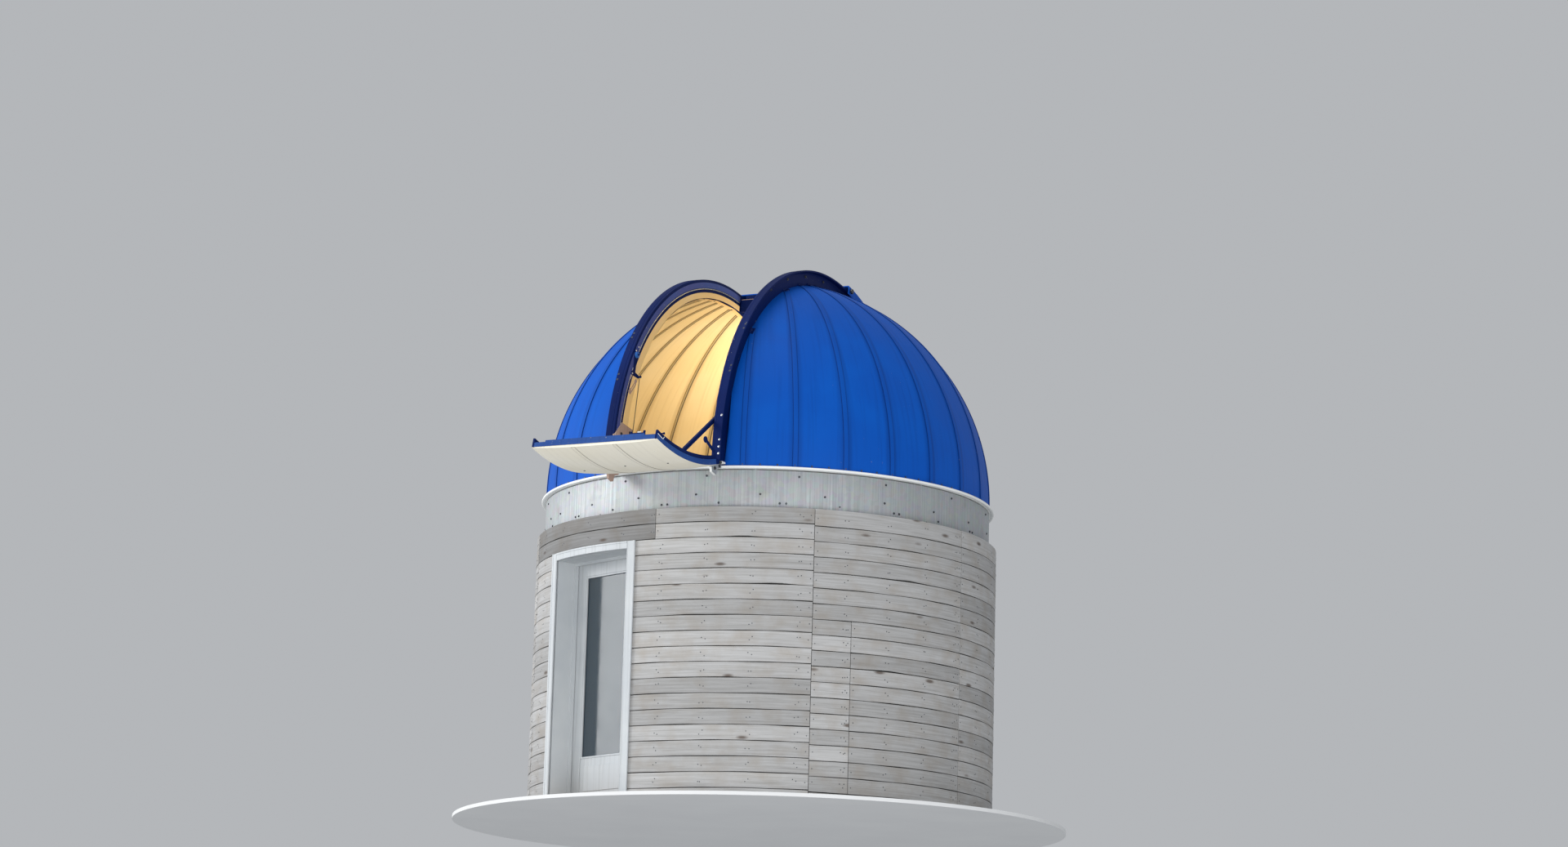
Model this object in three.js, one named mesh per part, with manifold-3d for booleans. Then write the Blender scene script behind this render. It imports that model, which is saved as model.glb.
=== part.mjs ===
import * as THREE from 'three';
import { mergeVertices } from 'three/addons/utils/BufferGeometryUtils.js';
import Module from 'manifold-3d';

// Observatory dome: a round timber-clad wall, a fixed metal ring and a turning dome with a
// slit, two arch rails, a sliding upper shutter and a drop-out flap.
// Millimetres, +Z up, the slit faces -Y, the origin is on the drum's axis at ground level.

// Driving sizes of the wall
const WALL_TOP = 2250;
const WALL_OUT = 1864;
const WALL_IN = 1610;
const FLOOR_TOP = 70;
const SEAT = 0.3;
const WALL_STEP_DEG = 3;

// Driving sizes of the door, its bearing counted from the slit towards +X
const DOOR_BEARING = -22.8;
const DOOR_HALF = 432.5;
const JAMB = 40;
const DOOR_HEAD = 1950;
const LEAF_GAP = 6;
const LATCH_GAP = 8;
const LEAF_IN = 1560;
const LEAF_OUT = 1605;
const STILE = 105;
const BOTTOM_RAIL = 320;
const PANE_IN = 1577;
const PANE_OUT = 1587;
const STOP_IN = 1611;
const STOP_OUT = 1640;
const STOP_DEPTH = 20;
const JAMB_OUT = 1800;
const CASING = 75;
const CASING_HEAD = 60;
const CASING_PROUD = 14;
const HINGE_PIN_N = 1552;
const HINGE_PIN_T = -429.5;
const HINGE_R = 7;
const HINGE_LENGTH = 100;
const HINGE_LUG = 28;
const HINGE_FEET = [300, 1650];
const HANDLE_BACKSET = 52;
const HANDLE_ROSE = { half: 22, deep: 9, foot: 960, head: 1130 };
const HANDLE_GRIP = { reach: 55, half: 9, deep: 16, length: 125, foot: 1071, head: 1091 };

// Driving sizes of the fixed ring and the dome's base ring
const RING_OUT = 1800;
const RING_IN = 1740;
const RING_TOP = 2545;
const FLANGE_TOP = 2572;
const LIP = 20;
const LIP_R = 1837;
const BASE_IN = 1712;
const ROLLERS = 8;
const ROLLER_HALF = 45;
const ROLLER_IN = 1752;
const ROLLER_OUT = 1792;
const ROLLER_SUNK = 20;

// Driving sizes of the dome skin, the arch rails and the slit
const DOME_R = 1800;
const DOME_HEIGHT = 1815;
const SKIRT = 40;
const SKIN = 25;
const GORES = 28;
const GORE_DEG = 360 / GORES;
const RAIL_R = 1912;
const RAIL_ROOT = 1704;
const RAIL_ROOT_RISE = 55;
const RAIL_IN_X = 430;
const RAIL_WEB = 25;
const RAIL_OUT_X = 504;
const RAIL_FLANGE = 12;
const SLIT_END_DEG = 100;
const BACK_SEAM_DEG = 140;
const HEADER_ARC_DEG = 1.9;
const HEADER_ROOT = 1765;
const HEADER_TOP = 1868;

// Driving sizes of the upper shutter, in degrees of arc from the front
const SHUTTER_OPEN_DEG = 100;
const SHUTTER_ARC_DEG = 71.5;
const SHUTTER_R = 1930;
const SHUTTER_PLATE = 15;
const SHUTTER_HALF = 527;
const SHUTTER_SKIRT_R = 1870;
const PAD_HALF = 22;
const PAD_LENGTH = 60;
const PAD_INSET_DEG = 3;

// Driving sizes of the flap, drawn closed and then swung open
const FLAP_R = 1942;
const FLAP_PLATE = 20;
const FLAP_HALF = 525;
const FLAP_FRAME = 15;
const FLAP_FRAME_R = 1890;
const FLAP_START_DEG = 1.2;
const FLAP_END_DEG = 31.1;
const FLAP_HINGE_S = 1952;
const FLAP_HINGE_Z = -15;
const FLAP_SWING_DEG = 106;
const FRONT_BAR_DEEP = 30;
const FRONT_BAR_DEG = 0.6;
const PIN_R = 8;
const PIN_HOLE_R = 8.5;
const BRACKET_IN_X = 436;
const BRACKET_OUT_X = 454;
const BRACKET_OUTLINE = [
  [1785, -1],
  [1785, -24],
  [1850, -40],
  [1868, -90],
  [1882, -93],
  [1940, -78],
  [1950, -42],
  [1966, -35],
  [1974, -21],
  [1974, -7],
  [1966, -1],
];

// The lever on the flap's right frame, as an outline of the closed flap
const LEVER_IN_X = 512;
const LEVER_OUT_X = 523;
const LEVER_OUTLINE = [
  [1897, 42],
  [1899, 66],
  [1869, 62],
  [1766, 187],
  [1752, 175],
  [1857, 43],
];

// Driving sizes of the stay bar between the right rail and the flap
const STAY_PIVOT_R = 1861;
const STAY_PIVOT_DEG = 11.55;
const STAY_BOSS_S = 1815;
const STAY_BOSS_Z = 367;
const STAY_IN_X = 400;
const STAY_OUT_X = 420;
const STAY_HALF = 15;

// Driving sizes of the pulley, the rope between its two pegs and the gusset on the left rail
const PULLEY_S = 1590;
const PULLEY_Z = 975;
const PULLEY_R = 26;
const PULLEY_HALF = 9;
const PULLEY_X = -410;
const HANGER = 6;
const HANGER_OUTLINE = [
  [1575, 1028],
  [1598, 1022],
  [1612, 975],
  [1622, 850],
  [1655, 828],
  [1655, 806],
  [1532, 796],
  [1527, 820],
  [1590, 835],
  [1575, 900],
  [1568, 975],
];
const GUSSET = 11;
const GUSSET_OUTLINE = [
  [1893, 30],
  [1890, 230],
  [1785, 392],
  [1600, 366],
  [1640, 30],
];
const ROPE_R = 4;
const PEG_R = 8;
const UPPER_PEG = [1538, 808];
const LOWER_PEG = [1632, 300];

const RAD = Math.PI / 180;
const wasm = await Module();
wasm.setup();

// Materials, with the colours seen in the photo
function finish(name, hex, roughness, metalness, extra = {}) {
  const material = new THREE.MeshStandardMaterial({ color: hex, roughness, metalness, ...extra });
  material.name = name;
  return material;
}

const TIMBER = finish('weathered timber', 0x6f6a63, 0.85, 0.0);
const TRIM = finish('pale painted trim', 0xb9b6ad, 0.6, 0.0);
const STEEL = finish('galvanised steel', 0x8f9396, 0.42, 0.9);
const LIP_WHITE = finish('white painted lip', 0xe4e6e6, 0.45, 0.1);
const BLUE = finish('blue dome skin', 0x0a5bbd, 0.4, 0.1);
const NAVY = finish('navy painted steel', 0x1a2238, 0.45, 0.4);
const CREAM = finish('cream flap skin', 0xe9e3d2, 0.45, 0.0);
const PLANKS = finish('bare floor boards', 0x8a6f50, 0.8, 0.0);
const ROPE = finish('braided rope', 0x8a7f6a, 0.9, 0.0);
const GLASS = finish('door glass', 0x27313a, 0.08, 0.0, { transparent: true, opacity: 0.6 });

// Solids: a closed three.js geometry becomes a solid for cuts and joins, and back
function toSolid(geometry) {
  const bare = geometry.clone();
  bare.deleteAttribute('normal');
  bare.deleteAttribute('uv');
  const merged = mergeVertices(bare, 1e-4);
  const index = merged.index
    ? merged.index.array
    : Uint32Array.from({ length: merged.attributes.position.count }, (unused, i) => i);
  const mesh = new wasm.Mesh({
    numProp: 3,
    vertProperties: Float32Array.from(merged.attributes.position.array),
    triVerts: Uint32Array.from(index),
  });
  mesh.merge();
  return new wasm.Manifold(mesh);
}

function toGeometry(solid) {
  const mesh = solid.getMesh();
  const geometry = new THREE.BufferGeometry();
  const points = new Float32Array(mesh.numVert * 3);
  for (let i = 0; i < mesh.numVert; i += 1) {
    points.set(mesh.vertProperties.subarray(i * mesh.numProp, i * mesh.numProp + 3), i * 3);
  }
  geometry.setAttribute('position', new THREE.BufferAttribute(points, 3));
  geometry.setIndex(new THREE.BufferAttribute(Uint32Array.from(mesh.triVerts), 1));
  return geometry;
}

function join(geometries) {
  return toGeometry(wasm.Manifold.union(geometries.map(toSolid)));
}

function cut(geometry, tools) {
  return toGeometry(toSolid(geometry).subtract(wasm.Manifold.union(tools.map(toSolid))));
}

// Basic shapes
function box(x0, x1, y0, y1, z0, z1) {
  const geometry = new THREE.BoxGeometry(x1 - x0, y1 - y0, z1 - z0);
  geometry.translate((x0 + x1) / 2, (y0 + y1) / 2, (z0 + z1) / 2);
  return geometry;
}

function rodX(x0, x1, y, z, radius, sides = 24) {
  const geometry = new THREE.CylinderGeometry(radius, radius, x1 - x0, sides);
  geometry.rotateZ(Math.PI / 2);
  geometry.translate((x0 + x1) / 2, y, z);
  return geometry;
}

function rodZ(x, y, z0, z1, radius, sides = 24) {
  const geometry = new THREE.CylinderGeometry(radius, radius, z1 - z0, sides);
  geometry.rotateX(Math.PI / 2);
  geometry.translate(x, y, (z0 + z1) / 2);
  return geometry;
}

function prism(points, z0, z1, hole = null) {
  const shape = new THREE.Shape(points.map(([x, y]) => new THREE.Vector2(x, y)));
  if (hole) {
    shape.holes.push(new THREE.Path(hole.map(([x, y]) => new THREE.Vector2(x, y))));
  }
  const geometry = new THREE.ExtrudeGeometry(shape, { depth: z1 - z0, bevelEnabled: false });
  geometry.translate(0, 0, z0);
  return geometry;
}

// A plate whose outline lies in the slit's plane: s counts forward from the axis, z upward
function plateX(points, x0, x1) {
  const geometry = prism(points, x0, x1);
  const toFrame = new THREE.Matrix4().makeBasis(
    new THREE.Vector3(0, -1, 0),
    new THREE.Vector3(0, 0, 1),
    new THREE.Vector3(-1, 0, 0),
  );
  geometry.applyMatrix4(toFrame);
  geometry.translate(x0 + x1, 0, 0);
  return geometry;
}

function bearingPoint(radius, degrees) {
  return [radius * Math.sin(degrees * RAD), -radius * Math.cos(degrees * RAD)];
}

function arc(radius, from, to, stepDeg = WALL_STEP_DEG) {
  const steps = Math.max(1, Math.round(Math.abs(to - from) / stepDeg));
  const share = (to - from) / steps;
  return Array.from({ length: steps + 1 }, (unused, i) => bearingPoint(radius, from + share * i));
}

// A curved block between two radii whose ends may be parallel to a door's axis
function curvedBlock(rIn, rOut, inner, outer, z0, z1) {
  return prism([...arc(rOut, outer[0], outer[1]), ...arc(rIn, inner[1], inner[0])], z0, z1);
}

function ring(rIn, rOut, z0, z1, sides = 112) {
  const turns = Array.from({ length: sides }, (unused, i) => (i * 360) / sides);
  const circle = (radius) => turns.map((degrees) => bearingPoint(radius, degrees));
  return prism(circle(rOut), z0, z1, circle(rIn));
}

// A section given as [x, radius] points, swept over the dome from one angle to another.
// The rise, where there is one, lifts the section's root radius with the sine of the angle.
function sweep(section, fromDeg, toDeg, steps, root = null) {
  const outline = section.map(([x, r]) => new THREE.Vector2(x, r));
  if (THREE.ShapeUtils.area(outline) < 0) {
    outline.reverse();
  }
  const caps = THREE.ShapeUtils.triangulateShape(outline, []);
  const count = outline.length;
  const points = [];
  const index = [];
  for (let i = 0; i <= steps; i += 1) {
    const angle = (fromDeg + ((toDeg - fromDeg) * i) / steps) * RAD;
    outline.forEach(({ x, y }) => {
      const radius = root && y === root.radius ? y + root.rise * Math.sin(angle) : y;
      points.push(x, -radius * Math.cos(angle), radius * Math.sin(angle));
    });
  }
  for (let i = 0; i < steps; i += 1) {
    for (let k = 0; k < count; k += 1) {
      const a = i * count + k;
      const b = i * count + ((k + 1) % count);
      index.push(a, a + count, b, b, a + count, b + count);
    }
  }
  const last = steps * count;
  caps.forEach(([a, b, c]) => {
    index.push(a, b, c);
    index.push(last + c, last + b, last + a);
  });
  const geometry = new THREE.BufferGeometry();
  geometry.setAttribute('position', new THREE.Float32BufferAttribute(points, 3));
  geometry.setIndex(index);
  return toGeometry(outward(geometry));
}

// A closed body whose faces all look outward
function outward(geometry) {
  const solid = toSolid(geometry);
  if (solid.volume() >= 0) {
    return solid;
  }
  const flipped = geometry.clone();
  const old = geometry.index.array;
  const turned = [];
  for (let i = 0; i < old.length; i += 3) {
    turned.push(old[i], old[i + 2], old[i + 1]);
  }
  flipped.setIndex(turned);
  return toSolid(flipped);
}

const part = new THREE.Group();
part.name = 'observatory_dome';

const dome = new THREE.Group();
dome.position.z = FLANGE_TOP;
part.add(dome);

function add(parent, name, geometry, material) {
  const shown = geometry.index ? geometry.toNonIndexed() : geometry;
  shown.computeVertexNormals();
  const mesh = new THREE.Mesh(shown, material);
  mesh.name = name;
  parent.add(mesh);
  return mesh;
}

// Wall: curved blocks around the door's opening, a lintel over it and a sill under it
const cutHalf = DOOR_HALF + JAMB + SEAT;
const cutAngle = (radius, half = cutHalf) => Math.asin(half / radius) / RAD;
const wallFrom = [DOOR_BEARING + cutAngle(WALL_IN), DOOR_BEARING + cutAngle(WALL_OUT)];
const wallTo = [DOOR_BEARING + 360 - cutAngle(WALL_IN), DOOR_BEARING + 360 - cutAngle(WALL_OUT)];
const wallNames = [
  'wall_right_front',
  'wall_right',
  'wall_right_rear',
  'wall_left_rear',
  'wall_left',
  'wall_left_front',
];
const seatAngle = SEAT / 2 / WALL_IN / RAD;
wallNames.forEach((name, i) => {
  const span = (wallTo[1] - wallFrom[1]) / wallNames.length;
  const from = wallFrom[1] + span * i + seatAngle;
  const to = wallFrom[1] + span * (i + 1) - seatAngle;
  const outer = [i === 0 ? wallFrom[1] : from, i === wallNames.length - 1 ? wallTo[1] : to];
  const inner = [i === 0 ? wallFrom[0] : from, i === wallNames.length - 1 ? wallTo[0] : to];
  add(part, name, curvedBlock(WALL_IN, WALL_OUT, inner, outer, 0, WALL_TOP), TIMBER);
});
const overDoor = (half, z0, z1) => curvedBlock(
  WALL_IN,
  WALL_OUT,
  [DOOR_BEARING - cutAngle(WALL_IN, half), DOOR_BEARING + cutAngle(WALL_IN, half)],
  [DOOR_BEARING - cutAngle(WALL_OUT, half), DOOR_BEARING + cutAngle(WALL_OUT, half)],
  z0,
  z1,
);
const frameHalf = DOOR_HALF + JAMB;
add(part, 'door_lintel', overDoor(frameHalf, DOOR_HEAD + JAMB + SEAT, WALL_TOP), TIMBER);
add(part, 'door_sill', overDoor(frameHalf, 0, FLOOR_TOP), PLANKS);

const floorRadius = WALL_IN * Math.cos((WALL_STEP_DEG / 2) * RAD) - SEAT;
add(part, 'floor', rodZ(0, 0, 0, FLOOR_TOP, floorRadius, 120), PLANKS);

// Door frame, drawn in the door's own frame: x along the wall, y inward, then turned into place
const door = new THREE.Group();
door.rotation.z = DOOR_BEARING * RAD;
part.add(door);

function jambOutline(side) {
  const inner = side * DOOR_HALF;
  const outer = side * (DOOR_HALF + JAMB);
  const stop = side * (DOOR_HALF - STOP_DEPTH);
  return [
    [outer, -LEAF_IN],
    [inner, -LEAF_IN],
    [inner, -STOP_IN],
    [stop, -STOP_IN],
    [stop, -STOP_OUT],
    [inner, -STOP_OUT],
    [inner, -JAMB_OUT],
    [outer, -JAMB_OUT],
  ];
}
const jambFoot = FLOOR_TOP + SEAT;
const lug = (z) => box(-450, HINGE_PIN_T, -LEAF_IN - 2, -(HINGE_PIN_N - HINGE_R), z, z + HINGE_LUG);
const lugs = HINGE_FEET.flatMap((z) => [lug(z - HINGE_LUG - SEAT), lug(z + HINGE_LENGTH + SEAT)]);
add(door, 'door_jamb_hinge', join([prism(jambOutline(-1), jambFoot, DOOR_HEAD - SEAT), ...lugs]), TRIM);
add(door, 'door_jamb_latch', prism(jambOutline(1), jambFoot, DOOR_HEAD - SEAT), TRIM);
add(door, 'door_head', join([
  box(-frameHalf, frameHalf, -JAMB_OUT, -LEAF_IN, DOOR_HEAD, DOOR_HEAD + JAMB),
  box(
    -(DOOR_HALF - STOP_DEPTH - SEAT),
    DOOR_HALF - STOP_DEPTH - SEAT,
    -STOP_OUT,
    -STOP_IN,
    DOOR_HEAD - STOP_DEPTH,
    DOOR_HEAD + 1,
  ),
]), TRIM);

// Pale casing strips on the outside of the wall around the door
const facetCosine = Math.cos((WALL_STEP_DEG / 2) * RAD);
const casingIn = WALL_OUT / facetCosine + SEAT;
const casingOut = casingIn + CASING_PROUD;
const clearDeg = Math.asin(DOOR_HALF / WALL_OUT) / RAD;
const casingDeg = CASING / WALL_OUT / RAD;
const casingTop = DOOR_HEAD + CASING_HEAD;
const casing = (from, to, z0, z1) => curvedBlock(casingIn, casingOut, [from, to], [from, to], z0, z1);
add(part, 'door_casing_left', casing(
  DOOR_BEARING - clearDeg - casingDeg,
  DOOR_BEARING - clearDeg,
  0,
  casingTop,
), TRIM);
add(part, 'door_casing_right', casing(
  DOOR_BEARING + clearDeg,
  DOOR_BEARING + clearDeg + casingDeg,
  0,
  casingTop,
), TRIM);
add(part, 'door_casing_head', curvedBlock(
  casingIn,
  casingOut,
  [DOOR_BEARING - clearDeg + seatAngle, DOOR_BEARING + clearDeg - seatAngle],
  [DOOR_BEARING - clearDeg + seatAngle, DOOR_BEARING + clearDeg - seatAngle],
  DOOR_HEAD,
  casingTop,
), TRIM);

// Door leaf with its pane, two barrel hinges and a handle on each side
const leafLeft = -(DOOR_HALF - LEAF_GAP);
const leafRight = DOOR_HALF - LATCH_GAP;
const leafFoot = FLOOR_TOP + LEAF_GAP;
const leafTop = DOOR_HEAD - LEAF_GAP - 1;
const glassFrame = [leafLeft + STILE, leafRight - STILE, leafFoot + BOTTOM_RAIL, leafTop - STILE];
add(door, 'door_leaf', cut(
  box(leafLeft, leafRight, -LEAF_OUT, -LEAF_IN, leafFoot, leafTop),
  [box(glassFrame[0], glassFrame[1], -LEAF_OUT - 5, -LEAF_IN + 5, glassFrame[2], glassFrame[3])],
), TRIM);
add(door, 'door_pane', box(
  glassFrame[0] + SEAT,
  glassFrame[1] - SEAT,
  -PANE_OUT,
  -PANE_IN,
  glassFrame[2] + SEAT,
  glassFrame[3] - SEAT,
), GLASS);
['door_hinge_lower', 'door_hinge_upper'].forEach((name, i) => {
  const foot = HINGE_FEET[i];
  const head = foot + HINGE_LENGTH;
  add(door, name, join([
    rodZ(HINGE_PIN_T, -HINGE_PIN_N, foot, head, HINGE_R, 20),
    box(HINGE_PIN_T, HINGE_PIN_T + 44, -(LEAF_IN - SEAT), -(LEAF_IN - 4), foot, head),
  ]), STEEL);
});
function handle(face, sense) {
  const at = leafRight - HANDLE_BACKSET;
  const { half, deep, foot, head } = HANDLE_ROSE;
  const grip = HANDLE_GRIP;
  const between = (x0, x1, near, far, z0, z1) => {
    const ends = [face + near * sense, face + far * sense];
    return box(x0, x1, Math.min(...ends), Math.max(...ends), z0, z1);
  };
  return join([
    between(at - half, at + half, 0, deep, foot, head),
    between(at - grip.half, at + grip.half, 0, grip.reach, grip.foot + 1, grip.head - 1),
    between(at - grip.length, at + grip.half, grip.reach - grip.deep, grip.reach, grip.foot, grip.head),
  ]);
}
add(door, 'door_handle_outside', handle(-(LEAF_OUT + SEAT), -1), STEEL);
add(door, 'door_handle_inside', handle(-(LEAF_IN - SEAT), 1), STEEL);

// Fixed ring on the wall's top, with the roller blocks that carry the dome
const rollerTop = FLANGE_TOP - LIP - SEAT;
const rollerBlocks = Array.from({ length: ROLLERS }, (unused, i) => {
  const block = box(-ROLLER_HALF, ROLLER_HALF, ROLLER_IN, ROLLER_OUT, RING_TOP - ROLLER_SUNK, rollerTop);
  block.rotateZ(((i + 0.5) * 2 * Math.PI) / ROLLERS);
  return block;
});
add(part, 'fixed_ring', join([
  ring(RING_IN, RING_OUT, WALL_TOP + SEAT, RING_TOP),
  ...rollerBlocks,
]), STEEL);

// Dome base ring with its white lip
add(dome, 'dome_base_ring', ring(BASE_IN, LIP_R, -LIP, 0), LIP_WHITE);

// Dome skin: a turned shell, cut by the slit and split along gore seams
function shellProfile() {
  const profile = [];
  const bands = 18;
  for (let i = 0; i <= bands; i += 1) {
    const angle = (i / bands) * (Math.PI / 2);
    profile.push(new THREE.Vector2(DOME_R * Math.cos(angle), SKIRT + DOME_HEIGHT * Math.sin(angle)));
  }
  for (let i = bands; i >= 0; i -= 1) {
    const angle = (i / bands) * (Math.PI / 2);
    const radius = (DOME_R - SKIN) * Math.cos(angle);
    profile.push(new THREE.Vector2(radius, SKIRT + (DOME_HEIGHT - SKIN) * Math.sin(angle)));
  }
  profile[bands].x = 0;
  profile[bands + 1].x = 0;
  profile.push(new THREE.Vector2(DOME_R - SKIN, SEAT));
  profile.unshift(new THREE.Vector2(DOME_R, SEAT));
  profile.push(profile[0].clone());
  return profile;
}
const shellTurned = new THREE.LatheGeometry(shellProfile(), GORES * 3);
shellTurned.rotateX(Math.PI / 2);
shellTurned.rotateZ((GORE_DEG / 2) * RAD);
const shell = outward(shellTurned);
const skinEdge = RAIL_IN_X + RAIL_WEB + SEAT;

function keep(solid, normal, offset) {
  return solid.trimByPlane(normal, offset);
}

function sideSkin(side, fromBearing, toBearing) {
  let solid = keep(shell, [side, 0, 0], skinEdge);
  const cuts = [[fromBearing, 1], [toBearing, -1]];
  cuts.forEach(([bearing, sense]) => {
    if (bearing !== null) {
      const normal = [side * sense * Math.cos(bearing * RAD), sense * Math.sin(bearing * RAD), 0];
      solid = keep(solid, normal, SEAT / 2);
    }
  });
  return toGeometry(solid);
}
const seamFront = GORE_DEG * 4.5;
const seamRear = GORE_DEG * 9.5;
[['right', 1], ['left', -1]].forEach(([word, side]) => {
  add(dome, `skin_${word}_front`, sideSkin(side, null, seamFront), BLUE);
  add(dome, `skin_${word}_middle`, sideSkin(side, seamFront, seamRear), BLUE);
  add(dome, `skin_${word}_rear`, sideSkin(side, seamRear, null), BLUE);
});
function rearSkin(fromDeg, toDeg) {
  let solid = keep(shell, [1, 0, 0], -(RAIL_IN_X - SEAT));
  solid = keep(solid, [-1, 0, 0], -(RAIL_IN_X - SEAT));
  solid = keep(solid, [0, Math.sin(fromDeg * RAD), Math.cos(fromDeg * RAD)], 0);
  if (toDeg) {
    solid = keep(solid, [0, -Math.sin(toDeg * RAD), -Math.cos(toDeg * RAD)], 0);
  }
  return toGeometry(solid);
}
const SEAM_DEG = 0.01;
add(dome, 'skin_back_upper', rearSkin(SLIT_END_DEG, BACK_SEAM_DEG), BLUE);
add(dome, 'skin_back_lower', rearSkin(BACK_SEAM_DEG + SEAM_DEG, null), BLUE);

// Header across the slit's rear end
const headerSection = [
  [-(RAIL_IN_X - SEAT), HEADER_ROOT],
  [RAIL_IN_X - SEAT, HEADER_ROOT],
  [RAIL_IN_X - SEAT, HEADER_TOP],
  [-(RAIL_IN_X - SEAT), HEADER_TOP],
];
const headerEnd = SLIT_END_DEG - 2 * SEAM_DEG;
add(dome, 'slit_header', sweep(headerSection, headerEnd - HEADER_ARC_DEG, headerEnd, 1), NAVY);

// Arch rails: a web through the skin and a top flange turned outward
function railSection(side) {
  const web = RAIL_IN_X + RAIL_WEB;
  return [
    [RAIL_IN_X, RAIL_ROOT],
    [web, RAIL_ROOT],
    [web, RAIL_R - RAIL_FLANGE],
    [RAIL_OUT_X, RAIL_R - RAIL_FLANGE],
    [RAIL_OUT_X, RAIL_R],
    [RAIL_IN_X, RAIL_R],
  ].map(([x, r]) => [side * x, r]);
}
const railFoot = Math.asin((SEAT + 0.01) / RAIL_ROOT) / RAD;
const railRoot = { radius: RAIL_ROOT, rise: RAIL_ROOT_RISE };
const boss = rodX(STAY_OUT_X + SEAT, RAIL_IN_X + 5, -STAY_BOSS_S, STAY_BOSS_Z, 20);
const railSweep = (side) => sweep(railSection(side), railFoot, 180 - railFoot, 72, railRoot);
add(dome, 'rail_right', join([railSweep(1), boss]), NAVY);
add(dome, 'rail_left', railSweep(-1), NAVY);

// Upper shutter: a curved tray over the rails, carried on pads, pushed back over the top
function shutterSection() {
  const outer = SHUTTER_R + SHUTTER_PLATE;
  const lip = SHUTTER_HALF - SHUTTER_PLATE;
  return [
    [-SHUTTER_HALF, outer],
    [-SHUTTER_HALF, SHUTTER_SKIRT_R],
    [-lip, SHUTTER_SKIRT_R],
    [-lip, SHUTTER_R],
    [lip, SHUTTER_R],
    [lip, SHUTTER_SKIRT_R],
    [SHUTTER_HALF, SHUTTER_SKIRT_R],
    [SHUTTER_HALF, outer],
  ];
}
const shutterEnd = SHUTTER_OPEN_DEG + SHUTTER_ARC_DEG;
const padAt = [
  SHUTTER_OPEN_DEG + PAD_INSET_DEG,
  SHUTTER_OPEN_DEG + SHUTTER_ARC_DEG / 2,
  shutterEnd - PAD_INSET_DEG,
];
const pads = padAt.flatMap((degrees) => [-1, 1].map((side) => {
  const x = side * ((RAIL_IN_X + RAIL_OUT_X) / 2 + 5);
  const along = PAD_LENGTH / 2;
  const pad = box(x - PAD_HALF, x + PAD_HALF, -along, along, RAIL_R + SEAT, SHUTTER_R + 4);
  pad.rotateX((90 - degrees) * RAD);
  return pad;
}));
add(dome, 'shutter', join([sweep(shutterSection(), SHUTTER_OPEN_DEG, shutterEnd, 30), ...pads]), BLUE);

// Flap hinge brackets, hung from the base ring's edge below the rail feet, each with its pin
function bracket(side) {
  const faces = [side * BRACKET_IN_X, side * BRACKET_OUT_X];
  const plate = plateX(BRACKET_OUTLINE, Math.min(...faces), Math.max(...faces));
  const ends = [side * (BRACKET_IN_X + 5), side * (FLAP_HALF + 3)];
  const pin = rodX(Math.min(...ends), Math.max(...ends), -FLAP_HINGE_S, FLAP_HINGE_Z, PIN_R);
  return join([plate, pin]);
}
add(dome, 'flap_bracket_right', bracket(1), STEEL);
add(dome, 'flap_bracket_left', bracket(-1), STEEL);

// Gusset, pulley and rope on the inside of the left rail
const leftFace = -(RAIL_IN_X - SEAT);
const peg = ([s, z]) => rodX(leftFace, PULLEY_X + 12, -s, z, PEG_R);
add(dome, 'jamb_gusset', join([
  plateX(GUSSET_OUTLINE, leftFace, leftFace + GUSSET),
  peg(LOWER_PEG),
]), STEEL);
add(dome, 'jamb_pulley', join([
  rodX(PULLEY_X - PULLEY_HALF, PULLEY_X + PULLEY_HALF, -PULLEY_S, PULLEY_Z, PULLEY_R, 32),
  rodX(leftFace, PULLEY_X + PULLEY_HALF + 5, -PULLEY_S, PULLEY_Z, PEG_R),
  plateX(HANGER_OUTLINE, leftFace, leftFace + HANGER),
  peg(UPPER_PEG),
]), STEEL);
const ropeLean = Math.atan2(LOWER_PEG[0] - UPPER_PEG[0], UPPER_PEG[1] - LOWER_PEG[1]);
const pegSpan = Math.hypot(LOWER_PEG[0] - UPPER_PEG[0], UPPER_PEG[1] - LOWER_PEG[1]);
const ropeEnd = PEG_R + SEAT;
const rope = rodZ(0, 0, ropeEnd, pegSpan - ropeEnd, ROPE_R, 10);
rope.rotateX(-ropeLean);
rope.translate(PULLEY_X, -LOWER_PEG[0], LOWER_PEG[1]);
add(dome, 'jamb_rope', rope, ROPE);

// Flap: drawn closed over the slit's foot, then swung open about its hinge
const flap = new THREE.Group();
flap.position.set(0, -FLAP_HINGE_S, FLAP_HINGE_Z);
flap.rotation.x = FLAP_SWING_DEG * RAD;
dome.add(flap);

function onFlap(name, geometry, material) {
  geometry.translate(0, FLAP_HINGE_S, -FLAP_HINGE_Z);
  return add(flap, name, geometry, material);
}
const panelHalf = FLAP_HALF - FLAP_FRAME - SEAT;
const panelSection = [
  [-panelHalf, FLAP_R],
  [panelHalf, FLAP_R],
  [panelHalf, FLAP_R + FLAP_PLATE],
  [-panelHalf, FLAP_R + FLAP_PLATE],
];
const polar = (radius, degrees) => [radius * Math.cos(degrees * RAD), radius * Math.sin(degrees * RAD)];
const stayLug = plateX([
  polar(FLAP_R + 4, STAY_PIVOT_DEG - 1.1),
  polar(FLAP_R + 4, STAY_PIVOT_DEG + 1.1),
  polar(STAY_PIVOT_R - 6, STAY_PIVOT_DEG + 0.5),
  polar(STAY_PIVOT_R - 16, STAY_PIVOT_DEG),
  polar(STAY_PIVOT_R - 6, STAY_PIVOT_DEG - 0.5),
], STAY_IN_X - 16, STAY_IN_X - SEAT);
const stayAt = polar(STAY_PIVOT_R, STAY_PIVOT_DEG);
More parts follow.
